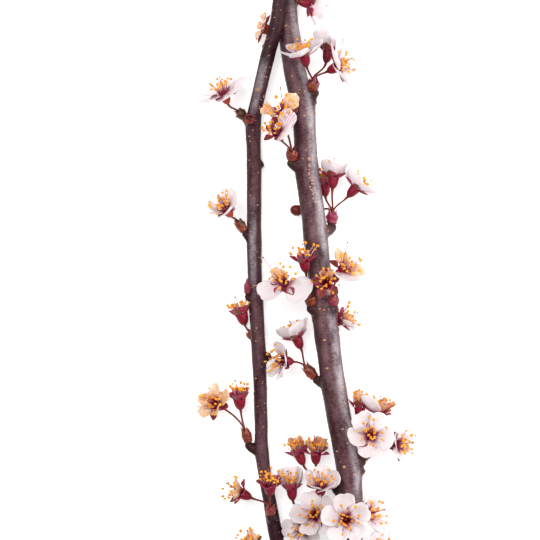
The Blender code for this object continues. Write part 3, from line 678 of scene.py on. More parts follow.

# %% [markdown]
# ### Bark
#
# Plum bark is smooth, mauve-brown and slightly shiny, with a silvery film, fine wrinkles round the
# stem and small corky spots. The film is painted brightest in a band along each stem, as a painted
# highlight, and the stems' flanks are darkened with painted shade. All of this follows the stem,
# which bends. So every corner of the bark holds its place as if the stem were straight: sideways,
# along and up, in millimetres. Noise that is squeezed along the stem gives lines that run round it.

# %% Finishes of the wood
def make_bark_finish():
    graph = Graph("bark", 0.4, Specular_IOR_Level=0.12)
    straight = graph.attribute("stem_place", "Vector")
    shoot, spur = graph.attribute("shoot", "Fac"), graph.attribute("spur", "Fac")
    sideways, along = straight.part("X"), graph.millimetres.part("Y")

    # Patterns of the skin: slow patches, lines round the stem, specks and fine grain.
    mottle = straight.stretch(0.16, 0.09, 0.16).noise(1.0, detail=7.0, roughness=0.65)
    rings = straight.stretch(0.35, 1.5, 0.35).noise(1.0, detail=5.0, roughness=0.7)
    specks = straight.stretch(1.1, 2.2, 1.1).noise(1.0, detail=3.0, roughness=0.6)
    grain = straight.noise(1.6, roughness=0.6)
    blend = mottle * 0.75 + rings * 0.35 + specks * 0.35
    patch = blend.step(0.54, 0.9)
    old = patch.mix((64, 28, 36), (122, 92, 97))
    young = patch.mix((50, 14, 22), (92, 58, 66))

    # Wine-red ends of the shoot, and painted shade on one flank of the main stem and on both of the
    # shoot's.
    shoot_ends = (along.step(138.0, 152.0) + along.step(-58.0, -72.0)) * shoot
    left = sideways.step(-1.6, -5.4) * 0.6
    both = (sideways.step(1.4, 3.4) + sideways.step(-2.0, -3.6)) * 0.7

    # The silvery film with a painted highlight in it: a band on the main stem, and two bright
    # stretches on the shoot.
    main_film_highlight = sideways.step(0.2, 3.6) * sideways.step(5.8, 4.0)
    shoot_film_highlight = sideways.step(1.6, 0.2) * sideways.step(-3.2, -1.4)
    lower_highlight_stretch = along.step(28.0, 48.0) * along.step(86.0, 62.0)
    upper_highlight_stretch = along.step(118.0, 130.0) * along.step(152.0, 144.0)
    shoot_highlight_stretches = shoot_film_highlight * ((lower_highlight_stretch + upper_highlight_stretch) * 0.65 + 0.05)
    film_and_highlight = shoot.between(main_film_highlight, shoot_highlight_stretches) * blend.step(0.47, 1.03)

    # Tan flecks, and dark cracks where the lines cross the patches.
    cells = {"Vector": straight.stretch(0.42, 0.7, 0.42), "Scale": 1.0}
    flecks = graph.add("TexVoronoi", cells, "Distance").step(0.17, 0.08) * 0.5
    cracks = rings.step(0.4, 0.28) * mottle.step(0.4, 0.6)
    graph.paint(
        shoot.mix(old, young),
        (shoot_ends * 0.85, (44, 8, 20)),
        # painted shade on the flanks of the stems
        (shoot.between(left, both), (42, 12, 16)),
        # painted highlight, as the pale silvery film
        (film_and_highlight, (194, 190, 195)),
        (flecks, (146, 98, 76)),
        (cracks * 0.75, (26, 10, 14)),
        (spur * 0.75, (52, 30, 28)),
    )
    graph.feed(graph.shader["Roughness"], mottle.between(0.24, 0.45))
    graph.bump(rings * 0.45 + grain * 0.8 + flecks * 0.5, 0.3, 0.6)


def make_wood_finishes():
    graph = Graph("cork", 0.7, Specular_IOR_Level=0.3)
    tone = graph.blade()[2]
    graph.paint(graph.noise(1.0).mix((176, 118, 86), (232, 176, 136)), (tone, (92, 62, 54)))
    graph.bump(graph.noise(3.0), 0.2, 0.7)

    graph = Graph("cut_wood", 0.65)
    straight = graph.attribute("stem_place", "Vector")
    middle = graph.add("VectorMath", {0: straight.stretch(1, 0, 1)}, "Value", operation="LENGTH")
    year_rings = (middle * 4.5 + straight.noise(0.5) * 2.0).apply("SINE")
    graph.paint(
        year_rings.step(0.2, 1.0).mix((222, 196, 152), (192, 154, 108)),
        (middle.step(1.0, 0.6), (150, 108, 74)),
    )
    graph.bump(straight.noise(2.5), 0.2, 0.5)


make_bark_finish()
make_wood_finishes()
print("finishes:", ", ".join(materials))

# %% [markdown]
# ## The wood
#
# The real branch is one piece of wood: the stems swell a little at every node, and spurs grow out
# of them with no seam. Sweeping each stem, spur and knob on its own leaves hard creases where they
# cross. A voxel remesh melts them into one skin, and a little smoothing then rounds the crotches,
# which is close to how bark grows over a joint.

# %% Sweep the stems, the spurs and the old knobs
STEM_SIDES = {"main": 32, "shoot": 24}
SPUR_SIDES = 16
STEM_STEP, SPUR_STEP, FINE_STEP = 2.0, 0.35, 0.8
RESTING_HEIGHT = 0.02

# How much a stem swells at a node, how far that reaches along it, and its slow change in girth.
SWELLING, SWELLING_REACH, DRIFT = 0.05, 4.5, 0.02

# The rings of older years on a spur: their depth, and their pace in radians to a millimetre.
RIPPLE, RIPPLE_PACE = 0.07, 5.2


def swollen_route(stem):
    """A stem's route, with the slight swellings that it has at its nodes."""
    nodes = [spur.root_y for spur in [*SPURS.values(), *KNOBS] if spur.stem == stem]
    fuller = []
    for station in smooth_route(STEMS[stem], STEM_STEP):
        nearness = sum(exp(-(((station.y - y) / SWELLING_REACH) ** 2)) for y in nodes)
        slow = DRIFT * noise.noise(Vector((station.y * 0.06, len(stem), 0)))
        share = 1 + SWELLING * min(nearness, 1.3) + slow
        fuller.append(Vector((*at(station.xyz), station.w * share)))
    return fuller


def spur_route(spur, heading):
    """A spur swells out of its stem, and rings of older years ripple it."""
    root, stem_radius = stem_point(spur.stem, spur.root_y)
    tip = Vector(spur.tip)
    shoulder = tip - heading * min(2.2, 0.45 * (tip - root).length)
    points = [(*at(root), 0.8 * stem_radius), (*at(shoulder), 1.2 * spur.radius)]
    points.append((*at(tip), spur.radius))
    rippled = []
    for station in smooth_route(points, SPUR_STEP):
        left = (at(tip) - station.xyz).length
        ripple = RIPPLE * sin(left * RIPPLE_PACE) * ease(1.5 - left / 4)
        rippled.append(Vector((*station.xyz, station.w * (1 + ripple))))
    return rippled


bm = bmesh.new()
for stem, sides in STEM_SIDES.items():
    sweep(bm, swollen_route(stem), sides)
for spur in SPURS.values():
    sweep(bm, spur_route(spur, spur_heading(spur)), SPUR_SIDES)
for knob in KNOBS:
    heading = (Vector(knob.tip) - stem_point(knob.stem, knob.root_y)[0]).normalized()
    sweep(bm, spur_route(knob, heading), SPUR_SIDES)
bmesh.ops.recalc_face_normals(bm, faces=bm.faces)
print("swept wood:", len(bm.faces), "faces")

# %% Melt them into one skin
VOXEL = 0.6
SMOOTHINGS = 4


def melted(bm, voxel):
    """One skin round all the overlapping bodies of a bmesh."""
    body = into_scene("melting", into_mesh("melting", bm))
    remesh = body.modifiers.new("remesh", "REMESH")
    remesh.mode = "VOXEL"
    remesh.voxel_size = voxel
    graph = bpy.context.evaluated_depsgraph_get()
    skin = bmesh.new()
    skin.from_mesh(body.evaluated_get(graph).to_mesh())
    bpy.data.objects.remove(body)
    return skin


skin = melted(bm, VOXEL)
for _ in range(SMOOTHINGS):
    bmesh.ops.smooth_vert(
        skin, verts=skin.verts, factor=0.5, use_axis_x=True, use_axis_y=True, use_axis_z=True
    )
print("melted wood:", len(skin.faces), "faces")

# %% [markdown]
# Every corner of the skin now finds its stem: the nearest point of the two middle lines tells how
# far along it lies, and its offset from there is split into sideways and up. The skin is then
# raised by noise in these straightened places, so that the wrinkles run round the stem, and
# pressed flat where the branch rests.

# %% Find each corner's place along its stem
def along_stem(points, route):
    """Each point's sideways, along and up from the nearest part of a route, and its clearance."""
    centres = np.array([station.xyz for station in route])
    radii = np.array([station.w for station in route])
    tangents = np.gradient(centres, axis=0)
    tangents /= np.linalg.norm(tangents, axis=1)[:, None]
    steps = np.linalg.norm(np.diff(centres, axis=0), axis=1)
    reach = np.concatenate([[0], np.cumsum(steps)])
    tree = KDTree(len(centres))
    for number, centre in enumerate(centres):
        tree.insert(centre, number)
    tree.balance()
    nearest = np.array([tree.find(point)[1] for point in points])
    tangent = tangents[nearest]
    offset = points - centres[nearest]
    onward = (offset * tangent).sum(axis=1)
    offset -= onward[:, None] * tangent
    side = np.cross(tangent, (0, 0, 1))
    side /= np.linalg.norm(side, axis=1)[:, None]
    up = np.cross(side, tangent)
    straight = [(offset * side).sum(axis=1), reach[nearest] + onward, (offset * up).sum(axis=1)]
    return np.stack(straight, axis=1), np.linalg.norm(offset, axis=1) - radii[nearest]


fine_routes = {
    name: [Vector((*at(s.xyz), s.w)) for s in smooth_route(points, FINE_STEP)]
    for name, points in STEMS.items()
}
corners = np.array([v.co for v in skin.verts])
main_place, main_gap = along_stem(corners, fine_routes["main"])
shoot_place, shoot_gap = along_stem(corners, fine_routes["shoot"])
on_shoot = np.clip(0.5 + (main_gap - shoot_gap) / 3, 0, 1)
stem_place = np.where((on_shoot > 0.5)[:, None], shoot_place, main_place)
on_spur = np.clip(np.minimum(main_gap, shoot_gap) / 2.5, 0, 1)
print("corners on the shoot:", int((on_shoot > 0.5).sum()), "on spurs:", int((on_spur > 0.5).sum()))

# %% Raise the wrinkles, press the resting spots flat and find the cut ends
CUT_DEPTH = 0.9

# The relief of the bark: fine wrinkles, slow lumps, and the roughness of the spurs.
WRINKLE, LUMP, ROUGHNESS = 0.09, 0.16, 0.22


def route_length(route):
    return sum((b - a).xyz.length for a, b in zip(route, route[1:]))


skin.normal_update()
for corner, place, spur_share in zip(skin.verts, stem_place, on_spur):
    side, along, up = place
    wrinkle = WRINKLE * noise.noise(Vector((side * 0.22, along * 0.9, up * 0.22)))
    lump = LUMP * noise.noise(Vector((side * 0.13, along * 0.1 + 40, up * 0.13)))
    rough = ROUGHNESS * spur_share * noise.noise(Vector((side, along, up)) * 0.8)
    corner.co += corner.normal * (wrinkle + lump + rough)
    corner.co.z = max(corner.co.z, RESTING_HEIGHT)
skin.normal_update()
main_end = np.minimum(main_place[:, 1], route_length(fine_routes["main"]) - main_place[:, 1])
shoot_end = route_length(fine_routes["shoot"]) - shoot_place[:, 1]
end_gap = np.where(on_shoot > 0.5, shoot_end, main_end)
cut_faces = 0
for face in skin.faces:
    if abs(face.normal.y) > 0.8 and max(end_gap[v.index] for v in face.verts) < CUT_DEPTH:
        face.material_index = 1
        cut_faces += 1
print("faces of cut wood:", cut_faces)

bark_tree = BVHTree.FromBMesh(skin)
wood = finish_piece("wood_and_bark", skin, "bark", ["branch_wood"])
wood.data.materials.append(materials["cut_wood"])
for name, kind, field, values in (
    ("stem_place", "FLOAT_VECTOR", "vector", stem_place),
    ("shoot", "FLOAT", "value", on_shoot),
    ("spur", "FLOAT", "value", on_spur),
):
    layer = wood.data.attributes.new(name, kind, "POINT")
    layer.data.foreach_set(field, values.astype(np.float32).ravel())

# %% [markdown]
# Corky spots, the lenticels, sit all over plum bark, wider round the stem than along it. In the
# photograph they stand out as tan dots, so they are real little domes and not only paint. Each is
# dropped on the bark by a ray from outside towards the middle of its stem. Most are scattered, but
# one string and two rings of them are laid where the photograph has them. A leaf scar, a small
# rimmed oval, is set the same way below some of the spurs.

# %% Lenticels and leaf scars
# For each stem: how many lenticels, and their smallest and largest size.
SPOTS = {"main": (150, 0.34, 0.95), "shoot": (240, 0.2, 0.5)}

# How high a lenticel is, and the range of its length as a share of its width.
SPOT_HEIGHT = 0.16
SPOT_PROPORTION = (0.45, 0.8)

# Leaf scars: stem, y and angle. Below, the width, length and height of each, and its tone.
SCARS = [
    ("shoot", 90.5, 108), ("shoot", 66, 190), ("shoot", 4, -20), ("main", 78, 195),
    ("main", -30, -25), ("main", -118, 200), ("shoot", -60, -15), ("main", -188, 110),
]
SCAR_SIZE, SCAR_TONE = (1.15, 0.9, 0.7), 0.4

# A ray starts this far outside a stem. Where it meets a spur, at more than this share of the
# stem's radius from its middle, there is no spot.
RAY_START, OFF_STEM = 6, 1.3

# The lenticels that stand in a string and in two rings: stem, y, angle and how much it varies, then
# the ranges of their width and length.
STRING = 15
LAID = [("main", 36 + k / STRING * 20, 80, 9, (0.3, 0.7), (0.25, 0.5)) for k in range(STRING)]
for stem, y in (("main", -19.4), ("shoot", -8.5)):
    LAID += [(stem, y, angle, 4, (0.4, 0.8), (0.2, 0.35)) for angle in range(20, 170, 14)]


def on_bark(stem, y, angle):
    """The frame on the bark at y and an angle round the stem, with Z out of it and Y along it."""
    route = fine_routes[stem]
    number = min(range(1, len(route) - 1), key=lambda k: abs(route[k].y - at((0, y, 0)).y))
    centre, onward = route[number], (route[number + 1] - route[number - 1]).xyz.normalized()
    side = onward.cross(Vector((0, 0, 1))).normalized()
    up = side.cross(onward)
    out = cos(radians(angle)) * side + sin(radians(angle)) * up
    start = centre.xyz + out * (centre.w + RAY_START)
    spot, normal, _, _ = bark_tree.ray_cast(start, -out, RAY_START + 2)
    if spot is None or (spot - centre.xyz).length > centre.w * OFF_STEM:
        return None
    across = onward.cross(normal).normalized()
    rotation = Matrix((across, normal.cross(across), normal)).transposed().to_4x4()
    return Matrix.Translation(spot) @ rotation


def press_on(bm, template, place, width, length, height, tone=0.0):
    stamp(bm, template, lambda x, y, z: Vector((width * x, length * y, height * z)), tone, place)


draw = random.Random("lenticels")
spots = new_bmesh()
made = len(LAID)
for stem, (count, smallest, largest) in SPOTS.items():
    lowest, highest = STEMS[stem][0][1] + 6, STEMS[stem][-1][1] - 2
    for _ in range(count):
        place = on_bark(stem, draw.uniform(lowest, highest), draw.uniform(-180, 180))
        size = draw.uniform(smallest, largest)
        if place and place.translation.z > 1:
            length = size * draw.uniform(*SPOT_PROPORTION)
            press_on(spots, SPOT, place, size, length, SPOT_HEIGHT)
            made += 1
for stem, y, angle, spread, widths, lengths in LAID:
    place = on_bark(stem, y + draw.uniform(-0.5, 0.5), angle + draw.uniform(-spread, spread))
    if place:
        press_on(spots, SPOT, place, draw.uniform(*widths), draw.uniform(*lengths), SPOT_HEIGHT)
for stem, y, angle in SCARS:
    place = on_bark(stem, y, angle)
    if place:
        press_on(spots, SCAR, place, *SCAR_SIZE, SCAR_TONE)
print("lenticels:", made, "leaf scars:", len(SCARS))
finish_piece("lenticels_and_leaf_scars", spots, "cork")

# %% [markdown]
# ## The petals
#
# A plum petal is a thin, nearly round blade with a narrow claw. It is cupped across, hollow along,
# and a little ruffled at its rim, and each petal's one edge lies over its neighbour, so every
# petal is rolled a few degrees about its own axis. The rise, length and width of each petal are
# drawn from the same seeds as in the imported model, so the fine petals lie where its blades lie.

# %% Sizes of a blossom
PETALS = 5
SECTOR = 360 / PETALS
PETAL_LENGTH = 9.8
PETAL_HALF_WIDTH = 4.7
PETAL_THICKNESS = 0.16
CLAW_PLACE = Vector((2.1, 0, 0.4))
PETAL_ROLL = radians(9)

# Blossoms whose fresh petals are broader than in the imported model, and how much.
BROADER = {"e1": 1.2}

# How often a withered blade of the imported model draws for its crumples, in front and behind.
CRUMPLES_FRONT, CRUMPLES_BEHIND = 3, 2


def petal_draws(name, blossom):
    """Number, kind, length, half width and rise of each petal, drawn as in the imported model."""
    draw = random.Random(name)
    in_front = blossom.stamens > 3 and blossom.petals.count("w") > 2
    for number, kind in enumerate(blossom.petals):
        if kind == "t":
            length = PETAL_LENGTH * draw.uniform(0.66, 0.8)
            broad = PETAL_HALF_WIDTH * draw.uniform(0.6, 0.75)
            rise = blossom.opening + draw.uniform(4, 20)
            for _ in range(CRUMPLES_FRONT if in_front else CRUMPLES_BEHIND):
                draw.uniform(-0.8, 0.8)
        elif kind == "w":
            length = PETAL_LENGTH * draw.uniform(0.96, 1.04)
            broad = PETAL_HALF_WIDTH * draw.uniform(0.95, 1.03) * BROADER.get(name, 1)
            rise = blossom.opening + draw.uniform(-3, 3)
        else:
            continue
        yield number, kind, blossom.size * length, blossom.size * broad, radians(rise)


# %% The shape of a fresh petal and of a withered one
def fresh_petal(length, broad, draw):
    """A function that moves the corners of a blade into a fresh petal that points along X."""
    seed = drawn(draw, 0, 90)
    waves, phase = draw.choice((2, 3, 3, 4)), draw.uniform(0, tau)
    notch, hollow = draw.uniform(0.0, 0.07), draw.uniform(0.04, 0.12)
    spread = draw.uniform(0.98, 1.14)

    def move(across, along, _):
        narrow = 0.74 + 0.28 * ease(along / 0.3) + 0.2 * ease((along - 0.55) / 0.35)
        rim = min(1.0, hypot(across, 2 * along - 1)) ** 4
        side = broad * across * narrow * spread
        dent = notch * exp(-((across / 0.16) ** 2)) * ease((along - 0.75) / 0.25)
        out = length * (along - dent)
        cup = 0.17 * side * side / broad
        bow = -hollow * length * sin(pi * along)
        angle = atan2(across, 2 * along - 1)
        ruffle = 0.075 * broad * rim * along * sin(waves * angle + phase)
        fine = 0.22 * noise.noise(Vector((out, side, 0)) * 0.33 + seed)
        return Vector((out, side, cup + bow + ruffle + fine))

    return move


def withered_petal(length, broad, draw):
    """The same for a withered petal: shrunk at its rim, curled in, twisted and crumpled."""
    seed = drawn(draw, 0, 90)
    twist, curl = radians(draw.uniform(-55, 55)), draw.uniform(0.5, 1.1)
    hook = draw.uniform(-0.25, 0.2)

    def move(across, along, _):
        narrow = 0.3 + 0.7 * ease(along / 0.4)
        torn = 1 + 0.35 * noise.noise(Vector((across, along * 2.2, 0)) * 1.6 + seed)
        spread = curl * across * torn * 1.1
        side = broad * narrow * (1.22 - 0.6 * along) * sin(spread) / curl
        lift = broad * narrow * (1 - cos(spread)) / curl + hook * length * along**2
        out = length * along * (0.96 + 0.1 * noise.noise(Vector((across * 2, along, 3)) + seed))
        corner = Vector((out, side, lift))
        crumple = noise.noise_vector(corner * 0.3 + seed) + 0.4 * noise.noise_vector(corner * 0.8)
        corner = Matrix.Rotation(twist * along, 3, "X") @ corner
        return corner + crumple * ease(along / 0.4) * 0.8

    return move


def petal_frame(place, turn, rise):
    """A petal's frame: X out from the claw, raised, and rolled over its neighbour."""
    spin = Matrix.Rotation(radians(turn), 4, "Z")
    raised = Matrix.Rotation(-rise, 4, "Y") @ Matrix.Rotation(PETAL_ROLL, 4, "X")
    return place @ spin @ Matrix.Translation(CLAW_PLACE) @ raised


# %% [markdown]
# Each blossom has one piece for its fresh petals and one for its withered ones, because they take
# different finishes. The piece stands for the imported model's petals of that blossom.

# %% Make every blossom's petals
PETAL_KINDS = {"w": ("fresh", fresh_petal), "t": ("withered", withered_petal)}

# The petal with strong veins, the blossoms with rusty petals, and the petals that stand closer.
VEINED = [("c1", 0)]
RUSTY = ("f1", "i3", "l1", "l2")
CLOSER = {("e1", 0): 10, ("e1", 2): -10}
petal_count = 0
for name, blossom in BLOSSOMS.items():
    shape_draw = random.Random("petals of " + name)
    sheets = {}
    for number, kind, length, broad, rise in petal_draws(name, blossom):
        word, shape = PETAL_KINDS[kind]
        word = "veined" if (name, number) in VEINED else word
        sheet = sheets.setdefault(word, new_bmesh())
        move = shape(length, broad, shape_draw)
        turn = SECTOR * number + CLOSER.get((name, number), 0)
        tone = shape_draw.random() * (0.15 if name in RUSTY else 1.0)
        stamp(sheet, PETAL_BLADE, move, tone, petal_frame(PLACES[name], turn, rise))
        petal_count += 1
    for word, sheet in sheets.items():
        slot = "petal_withered" if word == "withered" else "petal_fresh"
        piece, finish, nodes = f"petals_{name}_{word}", "petal_" + word, ["petals_" + name]
        finish_piece(piece, sheet, finish, nodes, PETAL_THICKNESS)
print("petals:", petal_count)

# %% [markdown]
# ## Cups, sepals and stalks
#
# Below the petals is the cup, turned like a little goblet and open at its mouth. Five sepals stand
# on its rim in the gaps between the petals. Each is a blade drawn out to a point and hollow along
# its middle. The stalk leaves the bud scales straight, bends, and flares into the foot of the cup.

# %% Cups, sepals and stalks of one spur
CUP_LENGTH = 5.9
SEPAL_LENGTH = 5.7
SEPAL_HALF_WIDTH = 1.95
SEPAL_PLACE = Vector((2.5, 0, -0.4))
SEPAL_THICKNESS = 0.26

# Blossoms whose cup is paler, whose sepals are brown, and whose cup and sepals are broader, with
# how much broader each of the two is.
PALE_CUPS = ("o1", "p1", "n1")
BROWN_SEPALS = ("e1", "f1", "n1")
SWOLLEN_CUPS = ("q1", "r2", "s1")
SWOLLEN = (1.15, 1.3)
STALK_RADIUS, STALK_SPANS = 0.5, 12


def sepal(draw, broader):
    """A function that moves the corners of a blade into a pointed, hollow sepal along X."""
    length = SEPAL_LENGTH * draw.uniform(0.92, 1.08)
    bend, skew = draw.uniform(-0.10, 0.06), draw.uniform(-0.25, 0.25)

    def move(across, along, _):
        taper = (0.7 + 0.45 * ease(along / 0.45)) * (1 - 0.4 * ease((along - 0.5) / 0.5))
        side = broader * SEPAL_HALF_WIDTH * across * taper
        lift = 0.22 * side * side - 0.35 * sin(pi * along) + bend * length * along**2
        return Vector((length * along, side + skew * along**2, lift))

    return move


def stalk_route(blossom):
    spur = SPURS[blossom.spur]
    heading, way = spur_heading(spur), Vector(blossom.faces).normalized()
    foot = at(Vector(spur.mouth) - heading * 2.2)
    base = at(Vector(blossom.throat) - way * CUP_LENGTH)
    bend = 0.38 * (base - foot).length
    route = []
    for step in range(STALK_SPANS + 1):
        t = step / STALK_SPANS
        near = (1 - t) ** 2 * ((1 - t) * foot + 3 * t * (foot + heading * bend))
        far = t**2 * (3 * (1 - t) * (base - way * bend) + t * base)
        radius = STALK_RADIUS * (1 + 0.35 * (1 - ease(t / 0.2)) + 0.5 * ease((t - 0.8) / 0.2))
        route.append(Vector((*(near + far), radius)))
    route.append(Vector((*(base + way * 0.4), 0.9)))
    return route


def closed_bud(x, y, z):
    """Moves the corners of a sphere into an unopened blossom: an egg with five faint ribs."""
    girth = 2.95 * (1 + 0.05 * cos(5 * atan2(y, x)))
    return Vector((girth * x, girth * y, 3.6 * z - 2.2))


def add_cup(cups, name, place, fuller, draw):
    """A cup whose corners keep their height as the place along a blade."""
    tone = 1.0 if name in PALE_CUPS else 0.6 * draw.random()
    stamp(cups, CUP, lambda x, y, z: Vector((fuller * x, fuller * y, z)), tone, place)
    layer = cups.verts.layers.float_vector["place"]
    for corner in cups.verts[-len(CUP.vertices):]:
        height = (place.inverted() @ corner.co).z
        corner[layer] = (0, 1 + height / CUP_LENGTH, corner[layer].z)


def add_cups(spur, cups, sepals, stalks):
    draw = random.Random("cups of " + spur)
    for name, blossom in BLOSSOMS.items():
        if blossom.spur != spur:
            continue
        place = PLACES[name]
        sweep(stalks, stalk_route(blossom), 8)
        if blossom.petals == "bud":
            stamp(cups, SPOT, closed_bud, 0.5, place)
            continue
        fuller, broader = SWOLLEN if name in SWOLLEN_CUPS else (1.0, 1.0)
        add_cup(cups, name, place, fuller, draw)
        browner = 0.6 if name in BROWN_SEPALS else 0.0
        for number in range(PETALS):
            rise = radians(0.7 * blossom.opening - 4 + draw.uniform(-7, 7))
            turn = radians(SECTOR * (number + 0.5) + draw.uniform(-4, 4))
            stand = Matrix.Rotation(turn, 4, "Z") @ Matrix.Translation(SEPAL_PLACE)
            here = place @ stand @ Matrix.Rotation(-rise, 4, "Y")
            move = sepal(draw, broader)
            stamp(sepals, SMALL_BLADE, move, browner + (1 - browner) * draw.random(), here)


# %% [markdown]
# ## Stamens and pistils
#
# More than twenty stamens stand on the rim of the cup. Every second one is short and upright, and
# those between are longer and lean out. Each filament is a thread bent along a curve of three
# points, with a two-lobed anther at its tip that faces anyhow. The pistil rises from the bottom of
# the cup, above most of the anthers.

# %% Stamens and pistil of one blossom
STAMENS = 22

# For the inner and the outer stamens: their share of the widest lean, and their length.
INNER, OUTER = ((-0.1, 0.3), (4.4, 6.4)), ((0.4, 1.0), (6.0, 9.2))

# Radii of a filament and of a pistil's style, at the foot and at the tip.
FILAMENT_RADIUS = (0.24, 0.11)
STYLE_RADIUS = (0.3, 0.2)

# Where the styles end that reach far out of their blossoms.
LONG_STYLE_TIPS = {"c2": (-9.9, 89.6, 27.0), "e1": (-18.4, 6.2, 30.5), "f2": (23.0, 13.5, 29.0)}
ANTHER_LENGTH = (0.74, 0.98)
OVARY_FOOT, OVARY = Vector((0, 0, -2.8)), Vector((0, 0, -1.9))


def curved(start, middle, end, t):
    return (1 - t) ** 2 * start + 2 * t * (1 - t) * middle + t * t * end


def add_thread(bm, start, middle, end, radii, tone):
    """A thread along the curve of three points, thinner towards its end."""
    heading = (end - start).normalized()
    side = heading.orthogonal().normalized()
    other = heading.cross(side)

    def move(x, along, z):
        radius = radii[0] + (radii[1] - radii[0]) * along
        return curved(start, middle, end, along) + radius * (x * side + z * other)

    stamp(bm, THREAD, move, tone)


def add_anther(bm, tip, heading, length, tone):
    turn = Vector((0, 1, 0)).rotation_difference(heading).to_matrix()
    stamp(bm, ANTHER, lambda x, y, z: tip + turn @ Vector((x, y, z)) * length, tone)


def leaning(angle):
    return Vector((sin(angle), 0, cos(angle)))


def add_stamens(name, blossom, filaments, anthers, pistils):
    if not blossom.stamens:
        return
    draw = random.Random("stamens of " + name)
    place = PLACES[name]
    bare = not set("wt") & set(blossom.petals)
    widest = 44 if bare else min(42, 0.8 * (90 - blossom.opening))
    for number in range(STAMENS):
        turn = Matrix.Rotation(tau * number / STAMENS + draw.uniform(-0.2, 0.2), 4, "Z")
        leans, lengths = (INNER, OUTER)[number % 2]
        lean = radians(widest * draw.uniform(*leans))
        length = draw.uniform(*lengths)
        foot = Vector((draw.uniform(1.6, 2.5), 0, -0.6))
        upright = foot + 0.5 * length * leaning(0.5 * lean)
        tip = foot + length * leaning(lean) + Vector((0, draw.uniform(-0.9, 0.9), 0))
        start, middle, end = (place @ turn @ p for p in (foot, upright, tip))
        add_thread(filaments, start, middle, end, FILAMENT_RADIUS, draw.random())
        heading = ((end - middle).normalized() + drawn(draw, -1, 1)).normalized()
        add_anther(anthers, end, heading, draw.uniform(*ANTHER_LENGTH), draw.uniform(0.25, 1))
    top = Vector((draw.uniform(-1.5, 1.5), draw.uniform(-1.5, 1.5), 9.0))
    if name in LONG_STYLE_TIPS:
        top = place.inverted() @ at(LONG_STYLE_TIPS[name])
    middle = (OVARY_FOOT + top) / 2 + Vector((0.5, 0, 0))
    start, middle, end = (place @ p for p in (OVARY_FOOT, middle, top))
    add_thread(pistils, start, middle, end, STYLE_RADIUS, 0.5)
    sideways, _, upwards = place.to_3x3().transposed()
    add_anther(anthers, end, sideways, 0.5, 0.0)
    add_anther(pistils, place @ OVARY, upwards, 1.3, 0.0)


# %% [markdown]
# ## Bud scales
#
# A spur ends in the papery scales of the bud that opened there. Three rings of scales follow the
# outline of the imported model's cup, each a little higher than the last, and their tips bend out by
# different amounts. A dark core closes the gaps between them.

# %% Scales of one spur
# Each ring of scales: how many, the angle of the first, and its share of the cup's height.
SCALE_RINGS = [(5, 0, 0.62), (5, 36, 0.9), (4, 20, 1.12)]
CLOSED_BUDS = ("bud_u", "bud_v")

# The tones of a spur's scales: grey-brown near 0, orange-brown between, crimson near 1.
SCALE_TONES = {
    "a": (0.3, 0.7), "b": (0.15, 0.8), "c": (0.3, 0.9), "d": (0.75, 1.0), "e": (0.2, 0.5),
    "f": (0.5, 1.0), "m": (0.7, 1.0), "o": (0.0, 0.2), "r": (0.15, 0.6), "s": (0.5, 0.7),
    "bud_u": (0.75, 1.0), "bud_v": (0.75, 1.0), "bud_w": (0.55, 0.65),
}

# The scales start this far above the tip of their spur.
GAP = 0.3


def cup_radius(height, closed):
    """Share of the spur's radius that the cup of scales has at a share of its height."""
    if height < 0.45:
        return 0.98 + 0.2 * ease(height / 0.45)
    return 1.18 - (1.0 if closed else 0.46) * ease((height - 0.45) / 0.55)


def scale(spur, length, tallness, closed, draw):
    """A function that wraps the corners of a blade round the cup, as one scale."""
    flare = 0.1 if closed else draw.uniform(0.0, 0.9)
    reach, slant = length * tallness * draw.uniform(0.8, 1.1), draw.uniform(-0.25, 0.25)
    lift = 0.1 + 0.3 * (1.12 - tallness) + 0.14 * draw.random()
    seed = Vector((draw.uniform(0, 90), 0, 0))

    def move(across, along, _):
        height = reach / length * along
        girth = spur.radius * cup_radius(min(1.0, height), closed) + lift + flare * along**3
        taper = (0.8 + 0.4 * ease(along / 0.3)) * (1 - 0.7 * ease((along - 0.4) / 0.6))
        angle = 0.95 * across * taper + slant * along
        corner = Vector((girth * cos(angle), girth * sin(angle), reach * along))
        return corner + 0.22 * along * noise.noise_vector(corner * 0.5 + seed)

    return move


def add_scales(name, scales, cores):
    draw = random.Random("scales of " + name)
    spur, heading = SPURS[name], spur_heading(SPURS[name])
    start = Vector(spur.tip) + heading * GAP
    length = (Vector(spur.mouth) - start).length
    closed = name in CLOSED_BUDS
    place = facing(start, heading, 40)
    tones = SCALE_TONES.get(name, (0.1, 0.55))
    for count, offset, tallness in SCALE_RINGS:
        for number in range(count):
            turn = Matrix.Rotation(radians(offset + 360 * number / count), 4, "Z")
            move = scale(spur, length, tallness, closed, draw)
            stamp(scales, SMALL_BLADE, move, draw.uniform(*tones), place @ turn)
    core = []
    for step in range(7):
        height = step / 6
        girth = 0.93 * spur.radius * cup_radius(height, closed)
        core.append(Vector((*at(start + heading * length * (0.92 * height - 0.1)), girth)))
    sweep(cores, core, 12)


